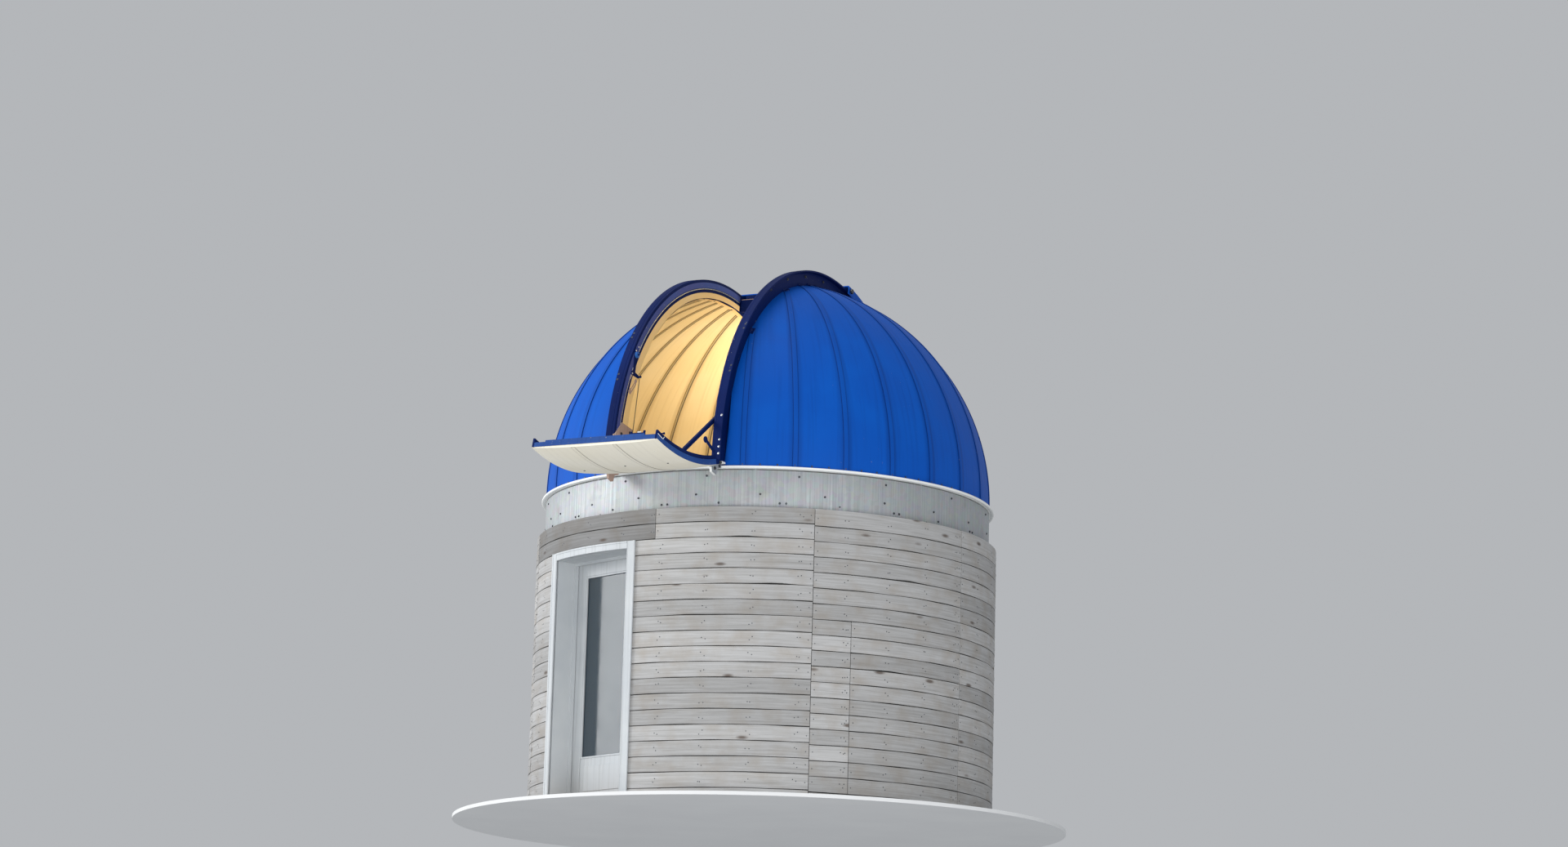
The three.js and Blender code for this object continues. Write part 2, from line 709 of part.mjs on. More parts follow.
const stayPin = rodX(STAY_IN_X - 5, STAY_OUT_X - 2, -stayAt[0], stayAt[1], PIN_R);
onFlap('flap_panel', join([
  sweep(panelSection, FLAP_START_DEG, FLAP_END_DEG, 14),
  stayLug,
  stayPin,
]), CREAM);

const barHalf = RAIL_IN_X - 7;
const barTop = FLAP_R - SEAT * 1.5;
const frontBarSection = [
  [-barHalf, FLAP_R - FRONT_BAR_DEEP],
  [barHalf, FLAP_R - FRONT_BAR_DEEP],
  [barHalf, barTop],
  [-barHalf, barTop],
];
onFlap('flap_front_bar', sweep(frontBarSection, FLAP_END_DEG - FRONT_BAR_DEG, FLAP_END_DEG, 1), NAVY);

function sideFrame(side) {
  const edge = FLAP_HALF - FLAP_FRAME;
  const section = [
    [edge, FLAP_FRAME_R],
    [FLAP_HALF, FLAP_FRAME_R],
    [FLAP_HALF, FLAP_R + FLAP_PLATE],
    [edge, FLAP_R + FLAP_PLATE],
  ].map(([x, r]) => [side * x, r]);
  const inner = side * edge;
  const outer = side * FLAP_HALF;
  const x0 = Math.min(inner, outer);
  const x1 = Math.max(inner, outer);
  const lug = plateX([
    [FLAP_HINGE_S - 20, FLAP_HINGE_Z],
    [FLAP_HINGE_S - 14, FLAP_HINGE_Z - 14],
    [FLAP_HINGE_S, FLAP_HINGE_Z - 20],
    [FLAP_HINGE_S + 10, FLAP_HINGE_Z - 16],
    [FLAP_HINGE_S + 10, 45],
    [FLAP_HINGE_S - 52, 90],
  ], x0, x1);
  const pieces = [sweep(section, FLAP_START_DEG, FLAP_END_DEG, 14), lug];
  if (side > 0) {
    pieces.push(plateX(LEVER_OUTLINE, LEVER_IN_X, LEVER_OUT_X));
  }
  const hole = rodX(x0 - 5, x1 + 5, -FLAP_HINGE_S, FLAP_HINGE_Z, PIN_HOLE_R);
  return cut(join(pieces), [hole]);
}
onFlap('flap_frame_right', sideFrame(1), NAVY);
onFlap('flap_frame_left', sideFrame(-1), NAVY);

// Stay bar: hinged on the flap's right frame, its upper end beside the rail's boss
const open = FLAP_SWING_DEG * RAD;
const armS = stayAt[0] - FLAP_HINGE_S;
const armZ = stayAt[1] - FLAP_HINGE_Z;
const stayOpen = [
  FLAP_HINGE_S + armS * Math.cos(open) + armZ * Math.sin(open),
  FLAP_HINGE_Z - armS * Math.sin(open) + armZ * Math.cos(open),
];
const staySpan = Math.hypot(STAY_BOSS_S - stayOpen[0], STAY_BOSS_Z - stayOpen[1]);
const stayTurn = Math.atan2(STAY_BOSS_Z - stayOpen[1], STAY_BOSS_S - stayOpen[0]);
const stayBar = cut(
  join([
    box(STAY_IN_X, STAY_OUT_X, -staySpan, 0, -STAY_HALF, STAY_HALF),
    rodX(STAY_IN_X, STAY_OUT_X, 0, 0, STAY_HALF),
    rodX(STAY_IN_X, STAY_OUT_X, -staySpan, 0, STAY_HALF),
  ]),
  [rodX(STAY_IN_X - 5, STAY_OUT_X + 5, 0, 0, PIN_HOLE_R)],
);
const stay = new THREE.Group();
stay.position.set(0, -stayOpen[0], stayOpen[1]);
stay.rotation.x = -stayTurn;
dome.add(stay);
add(stay, 'stay_bar', stayBar, NAVY);

export default part;
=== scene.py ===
# %% [markdown]
# # An observatory dome, dressed for Blender
# The object is a small observatory: a round wall clad in weathered boards, a fixed steel ring
# on top of it, and a blue metal dome that turns on the ring. A slit between two arch rails
# opens the dome from its foot to past its top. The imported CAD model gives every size, so this
# script only swaps its plain solids for detailed skins and gives each one a real finish.

from collections import namedtuple

import bpy
import numpy as np
from mathutils import Matrix, Vector


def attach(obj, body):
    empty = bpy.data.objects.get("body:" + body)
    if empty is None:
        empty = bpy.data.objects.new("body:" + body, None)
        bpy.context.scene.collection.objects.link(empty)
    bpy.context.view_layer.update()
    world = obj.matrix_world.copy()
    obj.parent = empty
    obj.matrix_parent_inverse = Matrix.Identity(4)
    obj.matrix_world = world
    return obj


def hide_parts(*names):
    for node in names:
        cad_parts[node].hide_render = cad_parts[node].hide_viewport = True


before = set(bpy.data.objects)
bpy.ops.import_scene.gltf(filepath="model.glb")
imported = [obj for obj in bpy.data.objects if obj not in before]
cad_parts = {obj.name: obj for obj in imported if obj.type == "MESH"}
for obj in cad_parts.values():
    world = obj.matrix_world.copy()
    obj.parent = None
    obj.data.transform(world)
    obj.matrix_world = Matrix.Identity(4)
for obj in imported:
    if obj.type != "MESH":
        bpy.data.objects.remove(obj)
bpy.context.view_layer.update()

# %% [markdown]
# ## Camera
# The photo was taken from well below and far off, so the lens is long and the camera looks up.
# A camera can be aimed with a constraint, but a matrix built from heading, pitch and roll is
# exact and leaves nothing live in the scene.

# %% Aim the camera
heading, pitch, roll = np.radians([-25.5563, 11.8812, 1.5541])
CAMERA_AT = np.array([13.3558, -27.6700, -3.1721])
LENS_MM, SENSOR_MM = 88.125, 36.0
forward = np.array([np.sin(heading) * np.cos(pitch), np.cos(heading) * np.cos(pitch), np.sin(pitch)])
level = np.array([np.cos(heading), -np.sin(heading), 0.0])
lift = np.cross(level, forward)
right = level * np.cos(roll) + lift * np.sin(roll)
above = lift * np.cos(roll) - level * np.sin(roll)
camera = bpy.data.objects.new("camera", bpy.data.cameras.new("camera"))
bpy.context.scene.collection.objects.link(camera)
camera.data.lens = LENS_MM
camera.data.sensor_width = SENSOR_MM
turn = np.eye(4)
turn[:3, 0], turn[:3, 1], turn[:3, 2], turn[:3, 3] = right, above, -forward, CAMERA_AT
camera.matrix_world = Matrix(turn.tolist())
bpy.context.scene.camera = camera
print("camera looks along", forward.round(3))

# %% [markdown]
# ## Shapes as arrays
# Nearly everything on a dome is a profile carried along a path or a grid over a curved face.
# Both are whole-array sums in numpy. A shape here is its points, its faces, a pair of
# lengths along the surface in metres for patterns, and one number for tone: wear and dirt, and
# painted shade beside straps and ribs.

# %% Grids, closed bodies and sheets
Shape = namedtuple("Shape", "points faces uv tone")


def quads_of(rows, cols, wrap_rows=False, wrap_cols=False):
    """Grid point (i, j) is number i * cols + j; a wrapped side joins its last line to its first."""
    i, j = np.meshgrid(
        np.arange(rows if wrap_rows else rows - 1),
        np.arange(cols if wrap_cols else cols - 1),
        indexing="ij",
    )
    i, j = i.ravel(), j.ravel()
    i2, j2 = (i + 1) % rows, (j + 1) % cols
    return np.stack([i * cols + j, i2 * cols + j, i2 * cols + j2, i * cols + j2], 1)


def closed(points, faces, uv=None, tone=None):
    """A closed body; its faces are turned round if the sum of p0 . (p1 x p2) comes out negative."""
    points = np.asarray(points, float).reshape(-1, 3)
    volume = sum(
        np.einsum("ij,ij->", points[f[:, 0]], np.cross(points[f[:, k]], points[f[:, k + 1]]))
        for f in faces
        for k in range(1, f.shape[1] - 1)
    )
    faces = faces if volume > 0 else [f[:, ::-1] for f in faces]
    uv = np.zeros((len(points), 2)) if uv is None else np.asarray(uv, float).reshape(-1, 2)
    tone = np.zeros(len(points)) if tone is None else np.broadcast_to(tone, len(points))
    return Shape(points, faces, uv, tone)


def slab(front, back, uv=None, tone=None):
    """Two grids of points as the faces of a sheet, with a strip of quads round their four edges."""
    rows, cols = front.shape[:2]
    number = np.arange(rows * cols).reshape(rows, cols)
    rim = np.concatenate([number[0], number[1:, -1], number[-1, -2::-1], number[-2:0:-1, 0]])
    after = np.roll(rim, -1)
    grid = quads_of(rows, cols)
    side = np.stack([rim, after, after + rows * cols, rim + rows * cols], 1)
    both = np.concatenate([front.reshape(-1, 3), back.reshape(-1, 3)])
    uv = None if uv is None else np.tile(uv.reshape(-1, 2), (2, 1))
    tone = None if tone is None else np.tile(tone.ravel(), 2)
    return closed(both, [grid, grid[:, ::-1] + rows * cols, side], uv, tone)


# %% Sections, and bodies carried along a path
def carried(section, centre, across, up, loop=False, tone=None):
    """Each section point (a, b) runs along the path: point = centre + a * across + b * up."""
    across, up = np.broadcast_to(across, centre.shape), np.broadcast_to(up, centre.shape)
    section = np.broadcast_to(section, (len(centre),) + np.shape(section)[-2:])
    points = (centre[:, None] + section[..., :1] * across[:, None] + section[..., 1:] * up[:, None])
    rows, cols = points.shape[:2]
    steps = np.linalg.norm(np.diff(points.mean(1), axis=0), axis=1)
    length = np.concatenate([[0], np.cumsum(steps)])
    uv = np.stack([section[..., 0], np.broadcast_to(length[:, None], (rows, cols))], -1)
    faces = [quads_of(rows, cols, loop, True)]
    if not loop:
        ends = np.arange(cols)
        faces.append(np.stack([ends, rows * cols - 1 - ends]))
    tone = None if tone is None else np.broadcast_to(tone, (rows, cols)).ravel()
    return closed(points, faces, uv, tone)


def rounded(outline, reach, steps=2):
    """Each corner becomes a quadratic curve that starts and ends `reach` away from it."""
    corner = np.asarray(outline, float)
    back, ahead = np.roll(corner, 1, 0) - corner, np.roll(corner, -1, 0) - corner
    back_far = np.linalg.norm(back, axis=1, keepdims=True)
    ahead_far = np.linalg.norm(ahead, axis=1, keepdims=True)
    start = corner + back / back_far * np.minimum(reach, back_far * 0.45)
    stop = corner + ahead / ahead_far * np.minimum(reach, ahead_far * 0.45)
    t = np.linspace(0, 1, steps + 1)[:, None, None]
    curve = (1 - t) ** 2 * start + 2 * t * (1 - t) * corner + t**2 * stop
    return curve.transpose(1, 0, 2).reshape(-1, 2)


def oblong(a0, a1, b0, b1, reach, steps=1):
    """A section between a0 and a1 one way and b0 and b1 the other, with rounded corners."""
    return rounded([[a0, b0], [a1, b0], [a1, b1], [a0, b1]], reach, steps)


def circle(radius, sides):
    """A round section: radius * (cos a, sin a) once round."""
    angle = np.linspace(0, 2 * np.pi, sides, endpoint=False)
    return radius * np.stack([np.cos(angle), np.sin(angle)], 1)


# %% Turned bodies
def turned(profile, centre, axis, sides=48, tone=None):
    """A profile turned once round an axis: centre + radius * (cos a, sin a) + height * axis."""
    axis = np.asarray(axis, float)
    first = np.roll(axis, 1)
    second = np.cross(axis, first)
    angle = np.linspace(0, 2 * np.pi, sides, endpoint=False)[:, None]
    out = np.cos(angle) * first + np.sin(angle) * second
    return carried(profile, np.tile(centre, (sides, 1)), out, axis, loop=True, tone=tone)


def pegs(where, normal, profile, sides):
    """A small turned body at each point: where + radius * (cos a, sin a) + height * normal."""
    where, normal = np.atleast_2d(where), np.atleast_2d(normal)
    helper = np.where(np.abs(normal[:, 2:]) > 0.9, [[1.0, 0, 0]], [[0, 0, 1.0]])
    first = np.cross(normal, helper)
    first /= np.linalg.norm(first, axis=1, keepdims=True)
    second = np.cross(normal, first)
    angle = np.linspace(0, 2 * np.pi, sides, endpoint=False)
    out = (np.cos(angle)[None, :, None] * first[:, None] + np.sin(angle)[None, :, None] * second[:, None])
    radius, height = np.asarray(profile, float).T
    points = (
        where[:, None, None]
        + radius[None, :, None, None] * out[:, None]
        + height[None, :, None, None] * normal[:, None, None]
    )
    rings = len(profile)
    step = np.arange(len(where))[:, None, None] * rings * sides
    ends = np.arange(sides)
    caps = np.stack([ends, rings * sides - 1 - ends])
    faces = [
        (quads_of(rings, sides, False, True)[None] + step).reshape(-1, 4),
        (caps[None] + step).reshape(-1, sides),
    ]
    return closed(points, faces)


# %% Boxes, tubes and changes of place
def block(low, high):
    """A box between two corners, its eight points as a grid two by four."""
    (x0, y0, z0), (x1, y1, z1) = low, high
    section = np.array([[x0, y0], [x1, y0], [x1, y1], [x0, y1]])
    return carried(section, np.array([[0, 0, z0], [0, 0, z1]], float), [1, 0, 0], [0, 1, 0])


def tube(path, radius, sides=12):
    """A round section along a path; it is turned to stay square to the path's own direction."""
    path = np.asarray(path, float)
    along = np.gradient(path, axis=0)
    along /= np.linalg.norm(along, axis=1, keepdims=True)
    spread = np.linalg.svd(path - path.mean(0))[2][2]
    across = np.tile(spread, (len(path), 1))
    across -= along * np.einsum("ij,ij->i", across, along)[:, None]
    across /= np.linalg.norm(across, axis=1, keepdims=True)
    return carried(circle(radius, sides), path, across, np.cross(along, across))


def runs(points, knots, count):
    """Straight runs from point to point, cut at even steps of the knots' scale from 0 to 1."""
    share = np.linspace(0, 1, count)
    return np.stack([np.interp(share, knots, axis) for axis in np.transpose(points)], 1)


def moved(shape, change):
    """The same body with its points passed through a change of place."""
    return closed(change(shape.points), shape.faces, shape.uv, shape.tone)


# %% [markdown]
# ## Pieces and their finishes
# Each piece becomes one mesh object at the origin. It rides on a CAD body, takes its material,
# and hides the plain solid that it stands for. Smooth shading with
# hard edges above an angle keeps rolled sheet round and folded sheet crisp.

# %% Make a piece
def put(name, shapes, material, body, hides=(), crease=35.0, bevel=0.0):
    """Joins the shapes in one mesh, shades it, and parents it to its body."""
    starts = np.cumsum([0] + [len(s.points) for s in shapes])
    faces = [
        face for s, start in zip(shapes, starts) for group in s.faces
        for face in (group + start).tolist()
    ]
    mesh = bpy.data.meshes.new(name)
    mesh.from_pydata(np.concatenate([s.points for s in shapes]), [], faces)
    corner = np.empty(len(mesh.loops), np.int32)
    mesh.loops.foreach_get("vertex_index", corner)
    uv = np.concatenate([s.uv for s in shapes])
    mesh.uv_layers.new(name="along").uv.foreach_set("vector", uv[corner].astype(np.float32).ravel())
    tone = mesh.attributes.new("tone", "FLOAT", "POINT")
    tone.data.foreach_set("value", np.concatenate([s.tone for s in shapes]).astype(np.float32))
    mesh.shade_smooth()
    mesh.set_sharp_from_angle(angle=np.radians(crease))
    mesh.materials.append(material)
    piece = bpy.data.objects.new(name, mesh)
    bpy.context.scene.collection.objects.link(piece)
    if bevel:
        edge = piece.modifiers.new("soft edges", "BEVEL")
        edge.width = bevel
        edge.segments = 2
        edge.limit_method = "ANGLE"
        edge.angle_limit = np.radians(crease)
        edge.harden_normals = True
    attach(piece, body)
    if hides:
        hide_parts(*hides)
    print(f"{name}: {len(mesh.polygons)} faces on {body}")
    return piece


# %% Colours and nodes
def srgb(code):
    """An sRGB hex colour as linear light: below 0.04045 a straight line, above it a 2.4 power."""
    part = np.array([int(code[i : i + 2], 16) / 255 for i in (1, 3, 5)])
    light = np.where(part <= 0.04045, part / 12.92, ((part + 0.055) / 1.055) ** 2.4)
    return (*light.tolist(), 1.0)


def add(tree, kind, inputs, **settings):
    """Adds a shader node, or feeds one that is there: sockets are linked, plain values are set."""
    node = tree.nodes.new("ShaderNode" + kind) if isinstance(kind, str) else kind
    for key, value in settings.items():
        setattr(node, key, value)
    for key, value in inputs.items():
        if isinstance(value, bpy.types.NodeSocket):
            tree.links.new(value, node.inputs[key])
        else:
            node.inputs[key].default_value = value
    return node.outputs


def begin(name):
    """A new material: its node tree, its shader, and the Object coordinates in metres."""
    material = bpy.data.materials.new(name)
    material.use_nodes = True
    tree = material.node_tree
    place = add(tree, "TexCoord", {})
    return material, tree, tree.nodes["Principled BSDF"], place


# %% [markdown]
# ## Painted steel
# The skin, the rails and the ring's lip are steel sheet under baked enamel. Enamel lies almost
# flat, so it keeps a broad soft gloss; years outside leave chalky patches, rain streaks that
# run down the sheet, dirt beside every strap and chips where hands and tools have been. The
# darkening beside straps and ribs is dirt and painted shade, read from each piece's tone. One
# function makes the family, since only the colours and the amount of wear differ.

# %% The enamel family
# patterns to a metre; each is 1000 over a size in millimetres
CHALK = 2.4  # chalked patches of about 400 mm
STREAK = (34, 1.1, 1)  # rain streaks 30 mm wide and 900 mm long
SPECK = 65.0  # chips of about 15 mm, drawn coarser than real so that they show
PEEL = 700.0  # orange peel of about 1.4 mm
DENTS = 5.0  # shallow dents of about 200 mm


def enamel(name, base, chalk, grime_and_shade, gloss=0.34, streaks=0.35, chips=0.0, mirror=0.5):
    """Baked enamel on steel sheet: base colour, chalked patches, streaks, strap dirt and painted shade, and
    chips.
    """
    material, tree, shader, place = begin(name)
    patch = add(tree, "TexNoise", {"Vector": place["Object"], "Scale": CHALK, "Detail": 4})
    chalked = add(tree, "MapRange", {"Value": patch[0], "From Min": 0.42, "From Max": 0.75, "To Max": 0.55})
    colour = add(tree, "Mix", {"Factor": chalked[0], 6: srgb(base), 7: srgb(chalk)}, data_type="RGBA")
    # the surface's own lengths: x across the sheet, y down it, so streaks are long in y
    drawn = add(tree, "Mapping", {"Vector": place["UV"], "Scale": STREAK})
    streak = add(tree, "TexNoise", {"Vector": drawn[0], "Scale": 1.0, "Detail": 5})
    run = add(tree, "MapRange", {"Value": streak[0], "From Min": 0.5, "From Max": 0.8, "To Max": streaks})
    # the tone beside straps and ribs is dirt and painted shade, drawn in the grime colour
    seam_dirt_and_shade = add(tree, "Attribute", {}, attribute_name="tone")
    dirt_and_shade = add(tree, "Math", {0: run[0], 1: seam_dirt_and_shade["Fac"]}, operation="ADD", use_clamp=True)
    soiled_and_shaded = add(tree, "Mix", {"Factor": dirt_and_shade[0], 6: colour[2], 7: srgb(grime_and_shade)}, data_type="RGBA")
    speck = add(tree, "TexNoise", {"Vector": place["Object"], "Scale": SPECK, "Detail": 6})
    chip = add(
        tree, "MapRange",
        {"Value": speck[0], "From Min": 0.74 - 0.12 * chips, "From Max": 0.78 - 0.12 * chips},
    )
    worn = add(tree, "Mix", {"Factor": chip[0], 6: soiled_and_shaded[2], 7: srgb("#8d8f8e")}, data_type="RGBA")
    sheen = add(tree, "MapRange", {"Value": patch[0], "To Min": gloss - 0.06, "To Max": gloss + 0.22})
    peel = add(tree, "TexNoise", {"Vector": place["Object"], "Scale": PEEL})
    dents = add(tree, "TexNoise", {"Vector": place["Object"], "Scale": DENTS})
    skin = add(tree, "Bump", {"Strength": 0.06, "Distance": 0.0006, "Height": peel[0]})
    relief = add(tree, "Bump", {"Strength": 0.35, "Distance": 0.006, "Height": dents[0], "Normal": skin[0]})
    add(tree, shader, {"Base Color": worn[2], "Roughness": sheen[0], "Normal": relief[0]})
    shader.inputs["IOR"].default_value = 1.5
    shader.inputs["Specular IOR Level"].default_value = mirror
    return material


# %% The object's paints
# a chalked surface mirrors less than fresh enamel, so the blues get a weak mirror
BLUE = enamel("blue enamelled steel", "#0050b2", "#005bc0", "#012a6c", streaks=0.25, gloss=0.5, mirror=0.12)
NAVY = enamel("navy enamelled steel", "#02184f", "#062361", "#020a22", gloss=0.5, chips=0.2, mirror=0.1)
RIM_BLUE = enamel("mid-blue enamelled steel", "#1c4488", "#2f5ca0", "#0c1f47", gloss=0.5,
                  chips=0.6, mirror=0.25)
# the facing is the rails' navy painted a lighter blue: a painted highlight along the rail's face
FACING_HIGHLIGHT_BLUE = enamel("navy enamel painted lighter as a highlight", "#3f5294", "#565088", "#232a4c", gloss=0.5,
                     chips=0.5, mirror=0.3)
WHITE = enamel("white enamelled steel", "#e9ebea", "#f6f6f3", "#8f918f", gloss=0.4, streaks=0.25)
CREAM = enamel("cream enamelled steel", "#f2ecda", "#f7f4ea", "#6f6557", gloss=0.5, streaks=0.12)
LINING = enamel("cream lining paint", "#eed399", "#f3dfb0", "#b08a4e", gloss=0.55, streaks=0.2, mirror=0.3)
# the closing strips lie in their rail's shade; their cream is painted warmer and lighter than the lining's,
# as painted light, so that they look like it
CLOSING = enamel("cream closing strip painted lighter against shade", "#fcd692", "#fde0a8", "#b08a4e", gloss=0.55,
                 streaks=0.1, mirror=0.3)
# its near-black grime colour draws the ribs' painted shade as well as their streaks
RIBS = enamel("cream rib paint", "#e9cd92", "#f0dcab", "#1a1006", gloss=0.55, streaks=0.1, mirror=0.3)
PULLEY = enamel("bright blue enamelled iron", "#0f5cb4", "#3a82d0", "#0c2c5a", chips=0.8)
PRIMER = enamel("red-brown primed steel", "#b09486", "#c9b3a6", "#5a443b", gloss=0.55, chips=0.5)
print("enamels made:", len(bpy.data.materials))

# %% [markdown]
# ## Galvanised and bare metal
# The fixed ring is galvanised sheet. Zinc sets in spangles and the sheet was brushed up and
# down, so it shows a faint crystal pattern under fine upright lines. A metal keeps the default
# IOR; its look comes from the colour of its reflection and its roughness.

# %% Zinc, steel and rubber
def zinc(name, light, dark, rough=0.36, spangle=26.0, brushed=0.7, metal=0.85):
    """Galvanised steel: crystal cells of about 40 mm and brushed lines that run up and down."""
    material, tree, shader, place = begin(name)
    # lines 11 mm apart and 600 mm long, with finer ones in them, and rust in clouds of 300 mm
    cells = add(tree, "TexVoronoi", {"Vector": place["Object"], "Scale": spangle})
    upright = add(tree, "Mapping", {"Vector": place["Object"], "Scale": (90, 90, 1.6)})
    lines = add(tree, "TexNoise", {"Vector": upright[0], "Scale": 1.0, "Detail": 6})
    cloud = add(tree, "TexNoise", {"Vector": place["Object"], "Scale": 3.2, "Detail": 5})
    shade = add(tree, "MapRange", {"Value": lines[0], "From Min": 0.3, "From Max": 0.7, "To Max": brushed})
    colour = add(tree, "Mix", {"Factor": shade[0], 6: srgb(light), 7: srgb(dark)}, data_type="RGBA")
    tint = add(
        tree, "Mix", {"Factor": 0.08, 6: colour[2], 7: cells["Color"]},
        data_type="RGBA", blend_type="SOFT_LIGHT",
    )
    rust = add(tree, "MapRange", {"Value": cloud[0], "From Min": 0.62, "From Max": 0.8, "To Max": 0.45})
    aged = add(tree, "Mix", {"Factor": rust[0], 6: tint[2], 7: srgb("#6d6459")}, data_type="RGBA")
    polish = add(tree, "MapRange", {"Value": lines[0], "To Min": rough - 0.1, "To Max": rough + 0.2})
    relief = add(tree, "Bump", {"Strength": 0.2, "Distance": 0.0008, "Height": lines[0]})
    add(tree, shader, {"Base Color": aged[2], "Roughness": polish[0], "Normal": relief[0]})
    shader.inputs["Metallic"].default_value = metal
    return material


ZINC = zinc("galvanised steel sheet", "#b4b8ba", "#8f9397", rough=0.6, brushed=0.5, metal=0.65)
BOLT = zinc("dull zinc bolts", "#5c6064", "#34373b", rough=0.45, spangle=120.0)
BRIGHT = zinc("polished steel", "#d5d8da", "#9ea2a6", rough=0.25, spangle=80.0)


def rubber(name, base, dust):
    """Black membrane or rubber: matt, with dust settled in patches of a few centimetres."""
    material, tree, shader, place = begin(name)
    cloud = add(tree, "TexNoise", {"Vector": place["Object"], "Scale": 18, "Detail": 6})
    colour = add(tree, "Mix", {"Factor": cloud[0], 6: srgb(base), 7: srgb(dust)}, data_type="RGBA")
    relief = add(tree, "Bump", {"Strength": 0.3, "Distance": 0.001, "Height": cloud[0]})
    add(tree, shader, {"Base Color": colour[2], "Normal": relief[0], "Roughness": 0.8})
    return material


MEMBRANE = rubber("black wall membrane", "#101214", "#2c2b29")

# %% [markdown]
# ## Weathered boards
# Softwood left bare outdoors turns silver-grey: sun bleaches the soft spring growth, rain
# washes it out between the harder rings, and dirt stays in the grooves. The grain has to bend
# round the drum with each board, so it reads the board's own lengths from the UV map rather
# than the object's coordinates. The wear number shifts the tone of one board against the next.

# %% The wood
BAND_MM = 24.0  # bands of grain; their finer layers show as growth rings of about 4 mm


def boards_wood(name, silver, brown, dark):
    """Bare softwood: stretched noise for grain, cell middles for knots, tone from each board."""
    material, tree, shader, place = begin(name)
    long_way = add(tree, "Mapping", {"Vector": place["UV"], "Scale": (1.3, 1000 / BAND_MM, 1)})
    grain = add(
        tree, "TexNoise",
        {"Vector": long_way[0], "Scale": 1.6, "Detail": 8, "Roughness": 0.65, "Distortion": 0.6},
    )
    # brown blotches of about 180 mm, and knots 480 mm apart along the board
    blotch = add(tree, "TexNoise", {"Vector": place["UV"], "Scale": 5.5, "Detail": 5})
    tone = add(tree, "Attribute", {}, attribute_name="tone")
    knot_at = add(tree, "Mapping", {"Vector": place["UV"], "Scale": (2.1, 6.5, 1)})
    knots = add(tree, "TexVoronoi", {"Vector": knot_at[0], "Scale": 1.0})
    knot = add(
        tree, "MapRange",
        {"Value": knots["Distance"], "From Min": 0.05, "From Max": 0.12, "To Min": 0.8, "To Max": 0},
    )
    line = add(tree, "MapRange", {"Value": grain[0], "From Min": 0.40, "From Max": 0.95})
    mixed = add(tree, "Mix", {"Factor": line[0], 6: srgb(silver), 7: srgb(dark)}, data_type="RGBA")
    warm = add(tree, "MapRange", {"Value": blotch[0], "From Min": 0.45, "From Max": 0.75, "To Max": 0.7})
    toned = add(tree, "Mix", {"Factor": warm[0], 6: mixed[2], 7: srgb(brown)}, data_type="RGBA")
    shade = add(tree, "MapRange", {"Value": tone["Fac"], "From Min": -1, "To Min": 0.25, "To Max": 1.35})
    grey = add(tree, "CombineXYZ", {0: shade[0], 1: shade[0], 2: shade[0]})
    board = add(
        tree, "Mix", {"Factor": 1.0, 6: toned[2], 7: grey[0]},
        data_type="RGBA", blend_type="MULTIPLY",
    )
    knotted = add(tree, "Mix", {"Factor": knot[0], 6: board[2], 7: srgb("#4a3a2e")}, data_type="RGBA")
    relief = add(tree, "Bump", {"Strength": 0.5, "Distance": 0.002, "Height": grain[0]})
    add(tree, shader, {"Base Color": knotted[2], "Roughness": 0.82, "Normal": relief[0]})
    return material


BOARDS = boards_wood("weathered softwood boards", "#c0c0c0", "#a79f95", "#85837f")
PLY = boards_wood("varnished birch plywood", "#c9ae84", "#b8925f", "#9c7a4c")
TRIM = enamel("pale painted softwood", "#b7bcc0", "#cfd2d2", "#7a7c7a", gloss=0.5, streaks=0.4)

# %% [markdown]
# ## Glass and rope
# The door's pane is float glass with a film of dust, so its roughness follows the dust and its
# colour is only a little blue. The rope is laid hemp: matt fibres that run along each strand.
# A photo of rope could be laid on it, but lines drawn along the strand's own UV map follow
# every twist, and need no picture.

# %% Glass and rope
def glass(name):
    """Float glass: clear and smooth, with a film of dust in clouds of about 140 mm."""
    material, tree, shader, place = begin(name)
    film = add(tree, "TexNoise", {"Vector": place["Object"], "Scale": 7, "Detail": 7})
    haze = add(tree, "MapRange", {"Value": film[0], "To Min": 0.02, "To Max": 0.22})
    add(tree, shader, {"Base Color": srgb("#5d6f7c"), "Roughness": haze[0]})
    shader.inputs["Transmission Weight"].default_value = 0.7
    shader.inputs["IOR"].default_value = 1.52
    return material


GLASS = glass("dusty float glass")


def cordage(name, light, dark):
    """Laid rope: bundles of fibres 1.1 mm wide and finer ones in them, drawn along each strand."""
    material, tree, shader, place = begin(name)
    lay = add(tree, "Mapping", {"Vector": place["UV"], "Scale": (900, 60, 1)})
    fibre = add(tree, "TexNoise", {"Vector": lay[0], "Scale": 1.0, "Detail": 4})
    colour = add(tree, "Mix", {"Factor": fibre[0], 6: srgb(light), 7: srgb(dark)}, data_type="RGBA")
    relief = add(tree, "Bump", {"Strength": 0.5, "Distance": 0.0006, "Height": fibre[0]})
    add(tree, shader, {"Base Color": colour[2], "Roughness": 0.9, "Normal": relief[0]})
    return material


ROPE = cordage("laid hemp rope", "#8f8063", "#5b503c")
print("materials made:", len(bpy.data.materials))

# %% [markdown]
# ## The dome's surface
# The skin is a little taller than a half ball, on a short upright skirt. Twenty-eight gores
# meet at straps; each gore is rolled in one direction only, so across its width it is nearly
# flat. A point is found from its bearing and its height angle, and the flatness pulls the
# middle of each gore in, as a polygon lies inside its circle.

